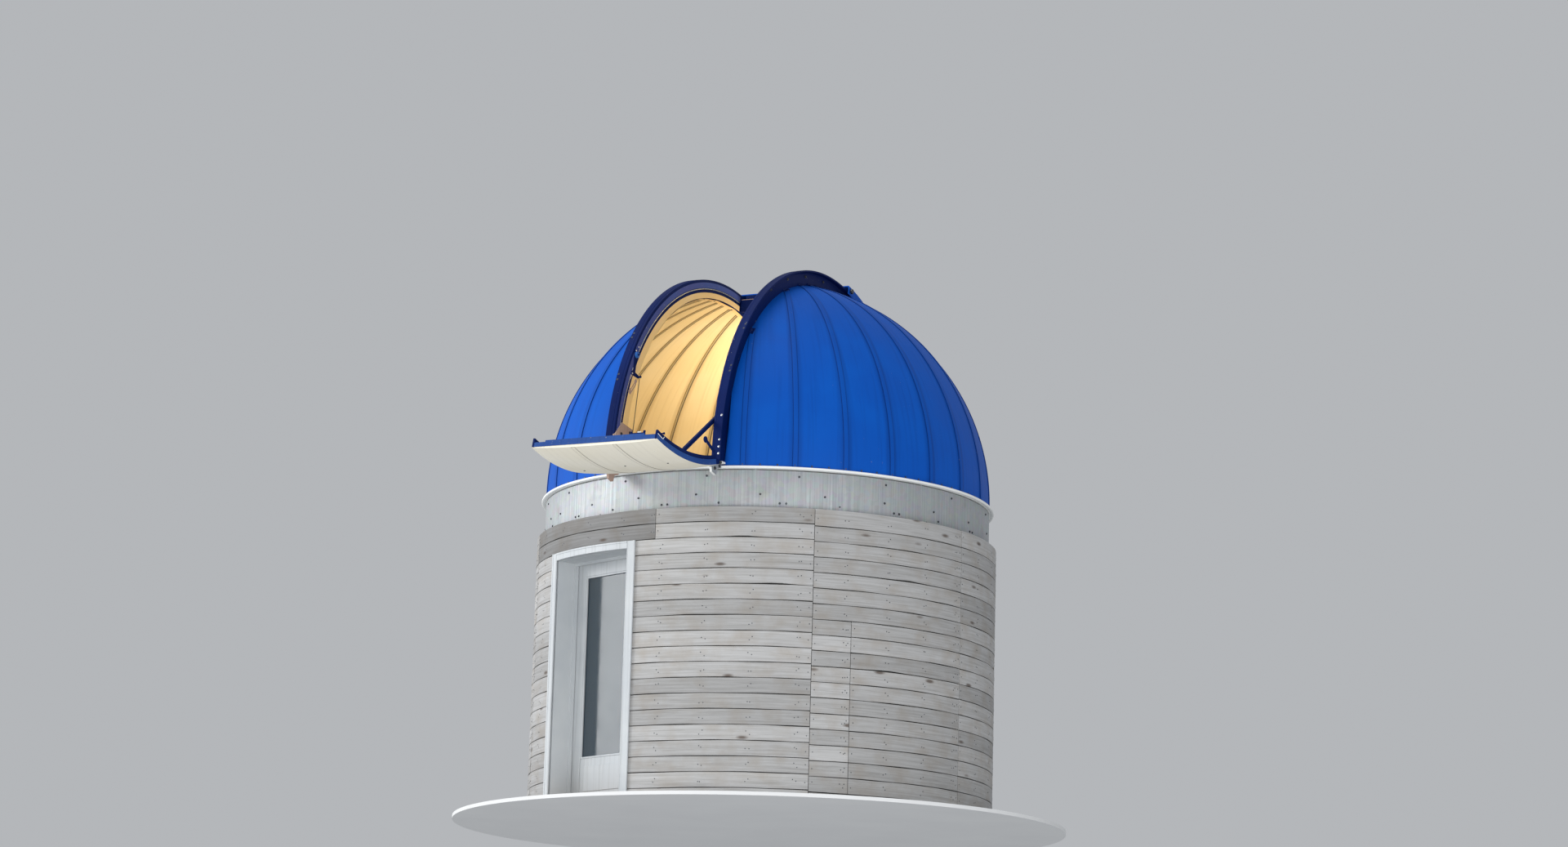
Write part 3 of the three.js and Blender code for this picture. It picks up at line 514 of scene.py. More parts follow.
# %% Sizes of the dome
FLANGE = 2.572  # top of the base ring, where the skin starts
SKIRT = 0.040
SKIRT_TOP = FLANGE + SKIRT
OUT_R, OUT_H = 1.800, 1.815  # the skin's radius and its rise above the skirt
IN_R, IN_H = 1.775, 1.790  # the same of the lining
CLEAR = 0.0005  # half a millimetre keeps faces that lie together out of one plane
GORE = 2 * np.pi / 28
SLIT_X = 0.4555
FLAT = 0.7  # how far a gore lies towards its chord, from 0, round, to 1, flat
SKIRT_ANGLE = 0.022  # the upright skirt, as an angle of the dome
DIRT_AND_SHADE_REACH = 0.012  # dirt and painted shade beside a strap fade over 12 mm
AXIS = np.array([0.0, 0.0, FLANGE])
SIDES = (("right", 1), ("left", -1))


def outward(bearing):
    """The level direction (sin, -cos, 0) at a bearing counted from the slit towards +x."""
    return np.stack([np.sin(bearing), -np.cos(bearing), 0 * bearing], -1)


def dome_radius(bearing, radius):
    """The level radius at a bearing: the circle's, less the flatness towards a gore's middle."""
    off = bearing - np.round(bearing / GORE) * GORE
    return radius * (1 - FLAT * (1 - np.cos(GORE / 2) / np.cos(off)))


def dome_point(bearing, height, radius, rise):
    """radius * cos(height) out along the bearing, and rise * sin(height) above the skirt."""
    out = radius * np.cos(height)
    return np.stack([out * np.sin(bearing), -out * np.cos(bearing), SKIRT_TOP + rise * np.sin(height)], -1)


def gore_sheet(low, high, side, face, back, rows=44, cols=7):
    """One gore between two bearings, cut off where it meets the rail at x = SLIT_X."""
    bearing = np.linspace(low, high, cols)[None]
    share = np.linspace(0, 1, rows)[:, None]
    level = dome_radius(bearing, face[0])
    reach = np.clip(SLIT_X / (level * np.sin(bearing)), 0, 1)
    height = share * np.arccos(reach)
    grids = []
    for radius, rise in (face, back):
        grid = dome_point(bearing + 0 * share, height, dome_radius(bearing, radius), rise)
        foot = grid[:1].copy()
        foot[..., 2] = FLANGE + CLEAR
        grid = np.concatenate([foot, grid])
        grid[..., 0] = np.maximum(grid[..., 0], SLIT_X)
        grids.append(grid * [side, 1, 1])
    height = np.concatenate([height[:1] - SKIRT_ANGLE, height])
    middle = (low + high) / 2
    width = (bearing - middle) * level * np.cos(height)
    half = (high - low) / 2 * level * np.cos(height)
    # dirt and painted shade in the step beside each strap, darkest at the gore's edge
    dirt_and_shade = 0.55 * np.exp(-(half - np.abs(width)) / DIRT_AND_SHADE_REACH)
    along = np.stack([width + 7 * np.round(middle / GORE), height * OUT_H], -1)
    return slab(*grids, uv=along, tone=dirt_and_shade)


# %% Roll the gores of both sides
SHEET = 0.004  # drawn 4 mm thick, so that its cut edges show
# each shell's name, the face that is seen, its other face, its paint and its slot
SHELLS = (
    ("skin", (OUT_R, OUT_H), (OUT_R - SHEET, OUT_H - SHEET), BLUE, "skin"),
    ("lining", (IN_R, IN_H), (IN_R + SHEET, IN_H + SHEET), LINING, "flap"),
)
first = np.arcsin(SLIT_X / OUT_R) + 1e-3
seams = GORE * (np.arange(1, 14) + 0.5)
edges = np.concatenate([[first], seams[(seams > first) & (seams < np.pi - first)], [np.pi - first]])
for word, side in SIDES:
    for shell, face, back, finish, slot in SHELLS:
        gores = [gore_sheet(a, b, side, face, back) for a, b in zip(edges[:-1], edges[1:])]
        parts = ("front", "middle", "rear") if shell == "skin" else ()
        put(f"dome_{shell}_{word}", gores, finish, "dome",
            hides=[f"skin_{word}_{part}" for part in parts])

# %% [markdown]
# ## Straps over the seams
# Where two gores meet, a flat strap is folded over the joint outside and a narrow cover strip
# hides it inside. They could be painted on as lines, but their edges catch the light, so each
# is a section carried up the meridian of its seam. The outer strap is 42 mm wide with
# rolled edges; its tone darkens both edges, dirt in the step and painted shade, which gives
# the two dark lines that show on the real skin. The inner strip is 24 mm wide; its tone is
# painted shade, darkest on the side away from the slit and faint along its other edge.

# %% Fold the straps
STRAP = rounded(
    [[-0.021, -0.002], [-0.021, 0.0035], [-0.017, 0.0045], [0.017, 0.0045], [0.021, 0.0035],
     [0.021, -0.002]], 0.0012, 1,
)
# the strap's tone: dirt and painted shade, light over the strap and dark in the step at each edge
STRAP_DIRT_AND_SHADE = 0.22 + np.clip((np.abs(STRAP[:, 0]) - 0.0165) / 0.003, 0, 1) * 0.6
RIB = rounded([[-0.012, -0.001], [-0.012, 0.007], [0.012, 0.007], [0.012, -0.001]], 0.002, 1)
# painted shade: dark along one edge of the rib, fainter along the other
RIB_PAINTED_SHADE = np.clip((RIB[:, 0] - 0.001) / 0.002, 0, 1)
RIB_PAINTED_SHADE += 0.45 * np.clip((-RIB[:, 0] - 0.009) / 0.002, 0, 1)


def meridian(bearing, start, stop, radius, rise, section, tone, side=1, facing=1, rows=48):
    """A section carried up one seam, with `across` level and `up` square to the shell."""
    height = np.linspace(start, stop, rows)
    path = dome_point(np.full(rows, bearing), np.maximum(height, 0), radius, rise)
    path[:, 2] += np.minimum(height, 0) * OUT_H
    level = np.tile([np.cos(bearing), np.sin(bearing), 0.0], (rows, 1))
    along = np.gradient(path, axis=0)
    up = np.cross(level, along)
    up *= facing / np.linalg.norm(up, axis=1, keepdims=True)
    mirror = np.array([side, 1, 1])
    return carried(section, path * mirror, level * mirror, up * mirror, tone=tone)


FOOT = (CLEAR - SKIRT) / OUT_H  # as an angle: the strips start just above the flange
side_seams = edges[1:-1]
# each strip's name, shell, section and tone (dirt and painted shade), the way it faces, how far
# it stops short of the rail, its paint and its slot
STRIPS = (
    ("seam_straps", OUT_R, OUT_H, STRAP, STRAP_DIRT_AND_SHADE, 1, 0.002, BLUE, "skin"),
    ("lining_ribs", IN_R, IN_H, RIB, RIB_PAINTED_SHADE, -1, 0.03, RIBS, "flap"),
)
for word, side in SIDES:
    for name, radius, rise, section, tone, facing, short, finish, slot in STRIPS:
        tops = np.arccos((SLIT_X + short) / (radius * np.sin(side_seams)))
        strips = [meridian(bearing, FOOT, top, radius, rise, section, tone, side, facing)
                  for bearing, top in zip(side_seams, tops)]
        put(f"{name}_{word}", strips, finish, "dome")

# %% [markdown]
# ## The back between the rails
# Behind the slit the skin carries on between the two rails. Gores cut off by a boolean would
# leave ragged edges there, so the grid runs across the slit in x and over the dome in angle,
# which ends cleanly along both rails and at the header.

# %% Close the back
BACK_X = 0.4292  # the sheet ends just inside the rails
BACK_TAN = np.tan(np.radians(10.0))  # the header's plane leans back by 10 degrees


def back_grid(radius, rise, rows=60, cols=33):
    """At each x the shell is an ellipse; the angle that meets the header's plane is solved."""
    x = np.linspace(-BACK_X, BACK_X, cols)[None]
    share = np.linspace(0, 1, rows)[:, None]
    scale = np.sqrt(1 - (x / radius) ** 2)
    swing = np.hypot(radius, BACK_TAN * rise)
    last = np.arccos(BACK_TAN * SKIRT / (scale * swing)) - np.arctan2(BACK_TAN * rise, radius)
    angle = share * last
    y = radius * scale * np.cos(angle)
    z = SKIRT_TOP + rise * scale * np.sin(angle)
    grid = np.stack([x + 0 * y, y, z], -1)
    foot = grid[:1].copy()
    foot[..., 2] = FLANGE + CLEAR
    return np.concatenate([foot, grid])


def back_uv(grid):
    """Across in x, along in the distance climbed up the sheet."""
    climb = np.linalg.norm(np.diff(grid, axis=0), axis=-1).cumsum(0)
    return np.stack([grid[..., 0], np.concatenate([0 * climb[:1], climb])], -1)


for shell, face, back, finish, slot in SHELLS:
    grid = back_grid(*face)
    nodes = ["skin_back_upper", "skin_back_lower"] if shell == "skin" else ()
    body = slab(grid, back_grid(*back), back_uv(grid))
    put(f"dome_{shell}_back", [body], finish, "dome", hides=nodes)

# %% Straps and ribs of the back
BACK_SEAMS = GORE * (np.arange(8, 20) + 0.5)
STOP_SHORT, LEAST = 0.012, 0.03  # short of the header, in metres; the shortest strip, as an angle
for name, radius, rise, section, tone, facing, _, finish, slot in STRIPS:
    strips = []
    for bearing in BACK_SEAMS:
        edge = (BACK_X - 0.022) / (radius * abs(np.sin(bearing)))
        start = np.arccos(edge) if edge < 1 else FOOT
        height = np.linspace(0, np.pi / 2, 400)
        back_off = -np.cos(bearing) * radius * np.cos(height)
        past = back_off - BACK_TAN * (SKIRT + rise * np.sin(height))
        stop = height[past > STOP_SHORT][-1] if (past > STOP_SHORT).any() else 0
        if stop - start > LEAST:
            # the ribs' painted shade lies on the other side here, so their tone is read backwards
            strips.append(meridian(bearing, start, stop, radius, rise, section, tone[::facing],
                                   facing=facing))
    put(f"{name}_back", strips, finish, "dome")

# %% [markdown]
# ## The lip
# The dome stands on a rolled ring whose white edge shows as a thin bright line all round. Its
# nose is half round, and a drip groove runs underneath so that rain falls clear of the wall. It
# is a section turned once round the axis, in steps fine enough for its outline to look round.

# %% Turn the lip
LIP_Z = FLANGE - 0.020
lip = rounded(
    [[1.712, LIP_Z], [1.806, LIP_Z], [1.808, LIP_Z + 0.003], [1.812, LIP_Z + 0.003],
     [1.814, LIP_Z], [1.837, LIP_Z], [1.837, FLANGE], [1.712, FLANGE]], 0.009, 4,
)
put("base_lip", [turned(lip, np.zeros(3), [0, 0, 1], 240)], WHITE, "dome",
    hides=["dome_base_ring"], crease=50)
# three bolts to a gore round the skirt, none between the rails
around = np.radians(np.arange(0, 360, 360 / 84) + 2.1)
around = around[np.abs(np.sin(around)) * OUT_R > 0.5]
out = outward(around)
at = out * dome_radius(around, OUT_R)[:, None] + [0, 0, FLANGE + 0.018]
ROUND_HEAD = [[0.0075, -0.001], [0.0075, 0.002], [0.006, 0.0045], [0.003, 0.0058]]
put("skirt_bolts", [pegs(at, out, ROUND_HEAD, 8)], BOLT, "dome")

# %% [markdown]
# ## Arch rails
# Two arches edge the slit and carry the shutter. Each is a rolled web with a flange turned
# outward; a groove and a bright guide bead run along its inner face, and a facing strip with
# worn chips covers the top of it, its navy painted a lighter blue as a highlight. A bevelled
# curve would keep one section all the way, but here the root rises with the sine of the angle
# to stay under the lining, so the section is carried over the dome as an array, in the plane of
# the slit.

# %% Bend the rails
ROOT_R = 1.725  # points of a section inside this radius are its root
ROOT_RISE = 0.055  # how much further out the root lies at the top than at the foot


def over_arch(section, start, stop, steps, rise=0.0, tone=None):
    """A section of (x, radius) points swept over the dome, its root lifted by rise * sin."""
    angle = np.radians(np.linspace(start, stop, steps + 1))
    up = np.stack([0 * angle, -np.cos(angle), np.sin(angle)], 1)
    section = np.tile(np.asarray(section, float), (len(angle), 1, 1))
    root = section[..., 1] < ROOT_R
    section[..., 1] += np.where(root, rise * np.sin(angle)[:, None], 0)
    return carried(section, np.tile(AXIS, (len(angle), 1)), [1, 0, 0], up, tone=tone)


# the sections, as (x, radius) points
RAIL = rounded(
    [[0.430, 1.704], [0.430, 1.829], [0.436, 1.831], [0.436, 1.840], [0.430, 1.842],
     [0.430, 1.912], [0.450, 1.912], [0.451, 1.9105], [0.453, 1.9105], [0.454, 1.912],
     [0.504, 1.912], [0.504, 1.8985], [0.468, 1.8985], [0.455, 1.886], [0.455, 1.704]], 0.002, 2,
)
FACING = oblong(0.4272, 0.4298, 1.843, 1.889, 0.001)
CLOSER = oblong(0.4276, 0.4298, 1.7064, 1.806, 0.001)
COVER = oblong(SLIT_X, 0.5036, 1.9115, 1.9128, 0.0005)
BEAD = circle(0.0042, 8) + [0.4305, 1.8355]
for word, side in SIDES:
    # name, section, angles it starts and stops at, steps, rise of its root, paint and slot
    for name, section, start, stop, steps, rise, finish, slot in (
        ("arch", RAIL, 0.02, 179.98, 180, ROOT_RISE, NAVY, "navy"),
        ("arch_facing", FACING, 1.5, 97.5, 96, 0, FACING_HIGHLIGHT_BLUE, "navy"),
        ("arch_cover", COVER, 0.5, 179.5, 180, 0, NAVY, "navy"),
        ("arch_closer", CLOSER, 1.0, 97.5, 96, ROOT_RISE, CLOSING, "flap"),
        ("arch_bead", BEAD, 1.5, 97.5, 96, 0, BRIGHT, "steel"),
    ):
        body = over_arch(section * [side, 1], start, stop, steps, rise)
        nodes = [f"rail_{word}"] if name == "arch" else ()
        put(f"{name}_{word}", [body], finish, "dome", hides=nodes)

# %% [markdown]
# ## Bolts and closing strips on the rails
# Bolts hold each web to the skin's frame, and small screws sit in its flange. Inside,
# short flat strips close the lining against the web; because each is straight, the edge they
# make against the cream lining is a polygon, with a bolt at every corner.

# %% Bolt the rails
def arch_point(x, radius, degrees):
    """A point at x and a radius in the slit's plane, the angle counted from the front."""
    angle = np.radians(np.asarray(degrees, float))
    x = np.broadcast_to(x, angle.shape)
    return np.stack([x, -radius * np.cos(angle), FLANGE + radius * np.sin(angle)], -1)


HEX = [[0.013, -0.001], [0.013, 0.002], [0.0095, 0.0025], [0.0092, 0.009], [0.006, 0.0105]]
# degrees along the arch: the web's bolts, then dull and bright screws in the flange
webs = np.arange(4.4, 176, 10.6)
DULL_HEADS = [23.0, 24.55, 36.4, 37.9]
CLEAN_HEADS = {"right": [2.0, 3.6, 5.3, 11.25], "left": [2.0, 3.6]}
DISC = [[0.009, -0.001], [0.009, 0.001], [0.005, 0.0025]]
for word, side in SIDES:
    web_at = arch_point(side * 0.4552, 1.864, webs)
    heads = []
    for degrees in (DULL_HEADS, CLEAN_HEADS[word]):
        top_at = arch_point(side * 0.490, 1.9126, degrees)
        top_out = (top_at - AXIS) * [0, 1, 1]
        top_out /= np.linalg.norm(top_out, axis=1, keepdims=True)
        heads.append(pegs(top_at, top_out, DISC, 8))
    put(f"arch_bolts_{word}", [pegs(web_at, [side, 0, 0], HEX, 6), heads[0]], BOLT, "dome")
    put(f"arch_screws_{word}", heads[1:], BRIGHT, "dome")

# %% Close the lining along the rails
STRIP_DEG = 10.5  # each strip spans this much of the arch
STRIP_R = 1.7005  # radius of the strips' middle at the foot
strip = oblong(-0.0185, 0.0185, -0.002, 0.002, 0.001)
corners = np.radians(np.arange(0.6, 180, STRIP_DEG))
for word, side in SIDES:
    strips = []
    for a, b in zip(corners[:-1], corners[1:]):
        ends = np.array([a + 0.002, b - 0.002])
        path = arch_point(side * SLIT_X, STRIP_R + ROOT_RISE * np.sin(ends), np.degrees(ends))
        middle = (a + b) / 2
        strips.append(carried(strip, path, [1, 0, 0], [0, -np.cos(middle), np.sin(middle)]))
    radius = (STRIP_R - 0.002 + ROOT_RISE * np.sin(corners))[:, None]
    inward = np.stack([0 * corners, np.cos(corners), -np.sin(corners)], 1)
    at = [side * 0.462, 0, FLANGE] - inward * radius
    put(f"closing_strips_{word}", strips, CLOSING, "dome", bevel=0.0006)
    put(f"closing_bolts_{word}", [pegs(at, inward, ROUND_HEAD, 8)], BOLT, "dome")

# %% Cap the straps where they meet the rails
caps = []
for side in (1, -1):
    for bearing in side_seams:
        top = np.arccos((SLIT_X + 0.014) / (OUT_R * np.sin(bearing)))
        point = dome_point(bearing, top, OUT_R, OUT_H) - AXIS
        degrees = np.degrees(np.arctan2(point[2], -point[1]))
        radius = np.hypot(point[1], point[2])
        section = rounded(
            [[SLIT_X, radius - 0.004], [SLIT_X, radius + 0.020], [0.460, radius + 0.020],
             [0.464, radius + 0.009], [0.485, radius + 0.006], [0.485, radius - 0.004]], 0.002, 1,
        )
        caps.append(over_arch(section * [side, 1], degrees - 1.1, degrees + 1.1, 2))
put("strap_caps", caps, NAVY, "dome", bevel=0.001)

# %% [markdown]
# ## Header and shutter
# A folded channel closes the slit behind the open part. The shutter is a curved tray that hangs
# over both rails and rolls back over the top; its skirts hide the rollers. It could be cut
# from a ball, but real sheet is bent one way only, so it is one folded section carried over the
# dome, with straps that carry on the dome's seams.

# %% Fold the header
channel = oblong(-BACK_X, BACK_X, 1.765, 1.868, 0.004, 2)
put("header_channel", [over_arch(channel, 98.1, 99.95, 2)], NAVY, "dome",
    hides=["slit_header"], bevel=0.002)
drip = oblong(-0.426, 0.426, 1.8682, 1.8735, 0.002, 2)
put("header_drip", [over_arch(drip, 98.15, 98.75, 1)], PRIMER, "dome", bevel=0.001)

# %% Roll the shutter
SHUT_FROM, SHUT_TO = 100.0, 171.5  # the shutter's ends as angles from the front
tray = rounded(
    [[-0.527, 1.945], [-0.527, 1.870], [-0.520, 1.870], [-0.520, 1.936], [0.520, 1.936],
     [0.520, 1.870], [0.527, 1.870], [0.527, 1.945]], 0.010, 3,
)
put("shutter_tray", [over_arch(tray, SHUT_FROM, SHUT_TO, 72)], BLUE, "shutter", hides=["shutter"])
bands = [
    over_arch(STRAP * [1.0, 0.7] + [x, 1.9435], SHUT_FROM + 1.2, SHUT_TO - 1.2, 66,
              tone=STRAP_DIRT_AND_SHADE)
    for x in (-0.2, 0.2)
]
put("shutter_straps", bands, BLUE, "shutter")
lath = oblong(-0.418, 0.418, 1.900, 1.9355, 0.003, 2)
put("shutter_front_bar", [over_arch(lath, SHUT_FROM + 0.05, SHUT_FROM + 0.45, 1)], NAVY,
    "shutter", bevel=0.0015)

# %% Fit its rollers and corner knobs
roller_deg = [SHUT_FROM + 3.0, (SHUT_FROM + SHUT_TO) / 2, SHUT_TO - 3.0]
ROLLER = [[0.004, 0.0], [0.0070, 0.001], [0.0074, 0.003], [0.0074, 0.041], [0.0070, 0.043], [0.004, 0.044]]
rollers = [pegs(arch_point(side * 0.452, 1.9222, roller_deg), [side, 0, 0], ROLLER, 20) for side in (1, -1)]
KNOB = [[0.006, -0.002], [0.006, 0.004], [0.019, 0.005], [0.021, 0.008], [0.021, 0.018],
        [0.019, 0.021], [0.008, 0.022]]
for side in (-1, 1):
    rollers.append(pegs(arch_point(side * 0.527, 1.905, [SHUT_FROM + 1.1]), [side, 0, 0], KNOB, 24))
put("shutter_rollers", rollers, BOLT, "shutter")

# %% [markdown]
# ## The drop-out flap
# The lowest part of the slit has its own leaf, hinged at its foot so that it drops outward to
# just below level. Its outer face is cream sheet, blown out a little between the side frames,
# with two straps over its seams; its edges are stiffened with curved angles. It is drawn shut
# on the dome's curve and then turned open by the hinge's swing, so that it fits the dome when
# the joint closes it.

# %% Swing the flap open
SWING = np.radians(106.0)  # from shut to open
HINGE = np.array([0.0, -1.952, 2.557])  # a point on the hinge's line
END = 31.1  # the free edge's angle on the closed flap
BAR_R = 1.912  # inner radius of the bar along the free edge
FRAME_R = 1.890  # inner radius of the side frames
SIDE_X = 0.528  # the flap's outer sides
LEAF_X = 0.5095  # the leaf between the side frames
BAR_X = 0.418  # ends of the bar along the free edge


def swung(points):
    """A turn about the hinge line: y' = y cos - z sin and z' = y sin + z cos, from the hinge."""
    x, y, z = (np.asarray(points) - HINGE).T
    turn_y, turn_z = y * np.cos(SWING) - z * np.sin(SWING), y * np.sin(SWING) + z * np.cos(SWING)
    return HINGE + np.stack([x, turn_y, turn_z], 1)


def on_flap(section, start, stop, steps, tone=None):
    """A section swept over the closed flap and turned open."""
    return moved(over_arch(section, start, stop, steps, tone=tone), swung)


def from_arch(radius, degrees):
    """Radius and angle in the slit's plane as lengths (forward, above the flange)."""
    angle = np.radians(np.asarray(degrees, float))
    return np.stack([radius * np.cos(angle), radius * np.sin(angle)], 1)


def plate(outline, x0, x1):
    """An outline in the slit's plane, (forward, above the flange), given a thickness in x."""
    centre = np.array([[x0, 0, FLANGE], [x1, 0, FLANGE]])
    return carried(outline, centre, [0, -1, 0], [0, 0, 1])


leaf = on_flap(oblong(-LEAF_X, LEAF_X, 1.943, 1.9618, 0.003, 2), 1.2, END - 0.14, 48)
# the lug under the leaf and the pin that the stay bar turns on
lug = from_arch(np.array([1.946, 1.946, 1.855, 1.845, 1.855]), [10.4, 12.7, 12.05, 11.55, 11.05])
PIN = [[0.008, 0], [0.008, 0.021], [0.0078, 0.0225], [0.006, 0.023]]
pin = pegs(arch_point(0.395, 1.861, [11.55]), [1, 0, 0], PIN, 24)
put("flap_leaf", [leaf, moved(plate(lug, 0.384, 0.3997), swung), moved(pin, swung)], CREAM, "flap",
    hides=["flap_panel"])

# %% Sheet, straps and bolts of the flap
SHEET_IN, SHEET_OUT = 1.9622, 1.9638  # the sheet's radii along its side edges
BULGE = 0.018  # how far it is blown out at the middle


def sheet_radius(x):
    """The sheet's outer radius over its width: edge radius + bulge * (1 - (x / half)^4)."""
    return SHEET_OUT + BULGE * (1 - (np.asarray(x) / SIDE_X) ** 4)


across = np.linspace(-SIDE_X, SIDE_X, 25)
back = np.stack([across, np.full(25, SHEET_IN)], 1)
face = np.stack([across, sheet_radius(across)], 1)
cover = np.concatenate([back, face[::-1]])
put("flap_sheet", [on_flap(cover, 1.6, END - 0.2, 48)], CREAM, "flap")
# narrower and thinner than the dome's straps, with dirt and painted shade in the steps alone
straps = [
    on_flap(STRAP * [0.8, 0.5] + [x, sheet_radius(x) - 0.0003], 1.8, END - 0.4, 48,
            tone=1.7 * STRAP_DIRT_AND_SHADE - 0.34)
    for x in (-0.18, 0.17)
]
put("flap_straps", straps, CREAM, "flap")
BOLT_X, BOLT_DEG = np.array([-0.3750, 0.0202, 0.3710]), [14.4, 17.0, 16.4]
at = swung(arch_point(BOLT_X, sheet_radius(BOLT_X), BOLT_DEG))
out = swung(arch_point(BOLT_X, sheet_radius(BOLT_X) + 0.01, BOLT_DEG)) - at
out /= np.linalg.norm(out, axis=1, keepdims=True)
DOME_HEAD = [[0.0075, -0.001], [0.0075, 0.0028], [0.005, 0.0038]]
put("flap_bolts", [pegs(at, out, DOME_HEAD, 12)], BOLT, "flap")

# %% Edge angles of the flap
for name, section, finish in (
    ("flap_edge_angles", oblong(0.5252, 0.5275, 1.919, 1.9615, 0.001), RIM_BLUE),
    ("flap_inner_bands", oblong(0.5252, 0.5265, FRAME_R + 0.002, 1.916, 0.0006), NAVY),
):
    sides = [on_flap(section * [side, 1], 1.6, END - 0.1, 48) for side in (-1, 1)]
    put(name, sides, finish, "flap")
bar = oblong(-BAR_X, BAR_X, BAR_R, 1.9415, 0.003, 2)
fold = oblong(-0.505, 0.505, 1.9405, 1.9425, 0.0006)
end_strip = oblong(-LEAF_X, LEAF_X, 1.9418, 1.9618, 0.001)
corner = oblong(BAR_X + CLEAR, LEAF_X, 1.925, 1.9415, 0.001)
edge_parts = [on_flap(bar, END - 0.55, END - 0.02, 1), on_flap(fold, END - 1.9, END - 0.57, 2),
              on_flap(end_strip, END - 0.13, END - 0.01, 1)]
edge_parts += [on_flap(corner * [side, 1], END - 0.55, END - 0.02, 1) for side in (-1, 1)]
put("flap_free_edge", edge_parts, RIM_BLUE, "flap", hides=["flap_front_bar"], bevel=0.0008)

# %% Catches on the flap's free edge
catch = []
# each plate's lowest and highest radius from the bar's underside, and its reach in x
for low_r, high_r, x0, x1 in (
    (-0.0100, -0.0002, 0.292, 0.417), (-0.0280, -0.0098, 0.401, 0.416),
    (-0.0240, -0.0098, 0.296, 0.304),
):
    radius = BAR_R + np.array([high_r, high_r, low_r, low_r])
    outline = from_arch(radius, END - np.array([0.55, 0.15, 0.15, 0.55]))
    catch.append(moved(plate(outline, x0, x1), swung))
put("flap_catches", catch, NAVY, "flap", bevel=0.001)
spool_at = swung(arch_point(0.366, BAR_R - 0.017, [END - 0.35]))[0]
spool = [[0.003, -0.012], [0.007, -0.012], [0.005, -0.008], [0.005, 0.008], [0.007, 0.012], [0.003, 0.012]]
put("flap_spool", [turned(spool, spool_at, [1, 0, 0], 20)], WHITE, "flap")

# %% [markdown]
# ## Fittings at the flap's right corner
# A turned knob stands off the right frame near the free edge, and a bent wire hook hangs
# beside it; both are small, but they break the frame's clean line in any close view. The lever
# on the same frame ends in a ring. The hook is a tube along straight runs, since real bends in
# thin wire are nearly sharp.

# %% Knob, hook and ring
def on_side(x, places):
    """Points at x, from places given as (forward, above the flange)."""
    forward_by, up_by = np.atleast_2d(places).T
    return np.stack([x + 0 * forward_by, -forward_by, FLANGE + up_by], 1)


knob = [[0.005, -0.001], [0.005, 0.020], [0.0085, 0.0215], [0.0085, 0.0315], [0.006, 0.033]]
put("flap_knob", [moved(pegs(arch_point(0.5250, 1.8985, [29.5]), [1, 0, 0], knob, 18), swung)],
    NAVY, "flap", crease=50)
bends = arch_point(0.5300, np.array([1.9210, 1.9240, 1.9270, 1.9020]), [30.95, 29.7, 28.4, 27.9])
hook = runs(swung(bends), [0, 0.4, 0.8, 1], 22)
put("flap_hook", [tube(hook, 0.0024, 10)], WHITE, "flap", crease=50)
ring_at = swung(on_side(0.5175, (1.759, 0.181)))[0]
put("flap_lever_ring", [turned(circle(0.0085, 10) + [0.017, 0], ring_at, [1, 0, 0], 28)], NAVY,
    "flap")

# %% [markdown]
# ## Hinge brackets, stay bar and small fittings
# Two brackets under the lip carry the flap's hinge pins. A flat bar, hooked to a boss on the
# right rail by a wire clip, holds the flap at its open angle. The clip rides on the bar, so it
# leaves the boss when the flap closes. A gusset stiffens the left rail's foot. The brackets and
# the bar are right as they are in the CAD model, so they keep their shape and only get paint.

# %% Bolts of the brackets
BIG_HEX = [[0.015, -0.001], [0.015, 0.0022], [0.0115, 0.003], [0.0112, 0.0095], [0.008, 0.011]]
bolts = []
for side in (-1, 1):
    for x, place, head in ((0.454, (1.898, -0.045), BIG_HEX), (0.454, (1.822, -0.016), HEX),
                           (0.5278, (1.952, -0.015), BIG_HEX)):
        bolts.append(pegs(on_side(side * x, place), [side, 0, 0], head, 6))
put("bracket_bolts", bolts, BOLT, "dome")

# %% White edge of the right bracket and the block beside it
edge_path = np.array([[1.9535, -0.044], [1.9435, -0.0795], [1.883, -0.0948]])
edge_in = edge_path * [0.9988, 1.0] + [0, 0.0015]  # about 2 mm thick
edge = plate(np.concatenate([edge_path, edge_in[::-1]]), 0.4352, 0.4548)
put("bracket_edge", [edge], WHITE, "dome", bevel=0.0004)
white_block = block((SLIT_X, -1.872, FLANGE + CLEAR), (0.503, -1.812, FLANGE + 0.014))
put("white_block", [white_block], WHITE, "dome", bevel=0.003)

# %% Gusset of the left rail's foot
FACE_X = -0.4297  # the left rail's inner face, seen from the slit
gusset = [[1.893, 0.030], [1.8895, 0.285], [1.785, 0.392], [1.600, 0.366], [1.640, 0.030]]
flare = [[1.892, 0.060], [1.9165, 0.060], [1.896, 0.278], [1.8895, 0.284]]
lower_peg, upper_peg = np.array([1.632, 0.300]), np.array([1.538, 0.808])
PEG = [[0.0080, 0.0], [0.0080, 0.026], [0.0095, 0.0265], [0.0095, 0.0310], [0.007, 0.0317]]


def peg_at(place):
    """A headed peg on the left rail's face, at a place given forward and above the flange."""
    return pegs(on_side(FACE_X, place), [1, 0, 0], PEG, 18)


put("jamb_gusset_plate",
    [plate(gusset, FACE_X, -0.4187), plate(flare, -0.4400, -0.4290), peg_at(lower_peg)],
    PRIMER, "dome", hides=["jamb_gusset"], bevel=0.001)
at = on_side(-0.4187, [(1.70, 0.08), (1.85, 0.08), (1.66, 0.335), (1.80, 0.30), (1.86, 0.245)])
put("gusset_bolts", [pegs(at, [1, 0, 0], HEX, 6)], BOLT, "dome")

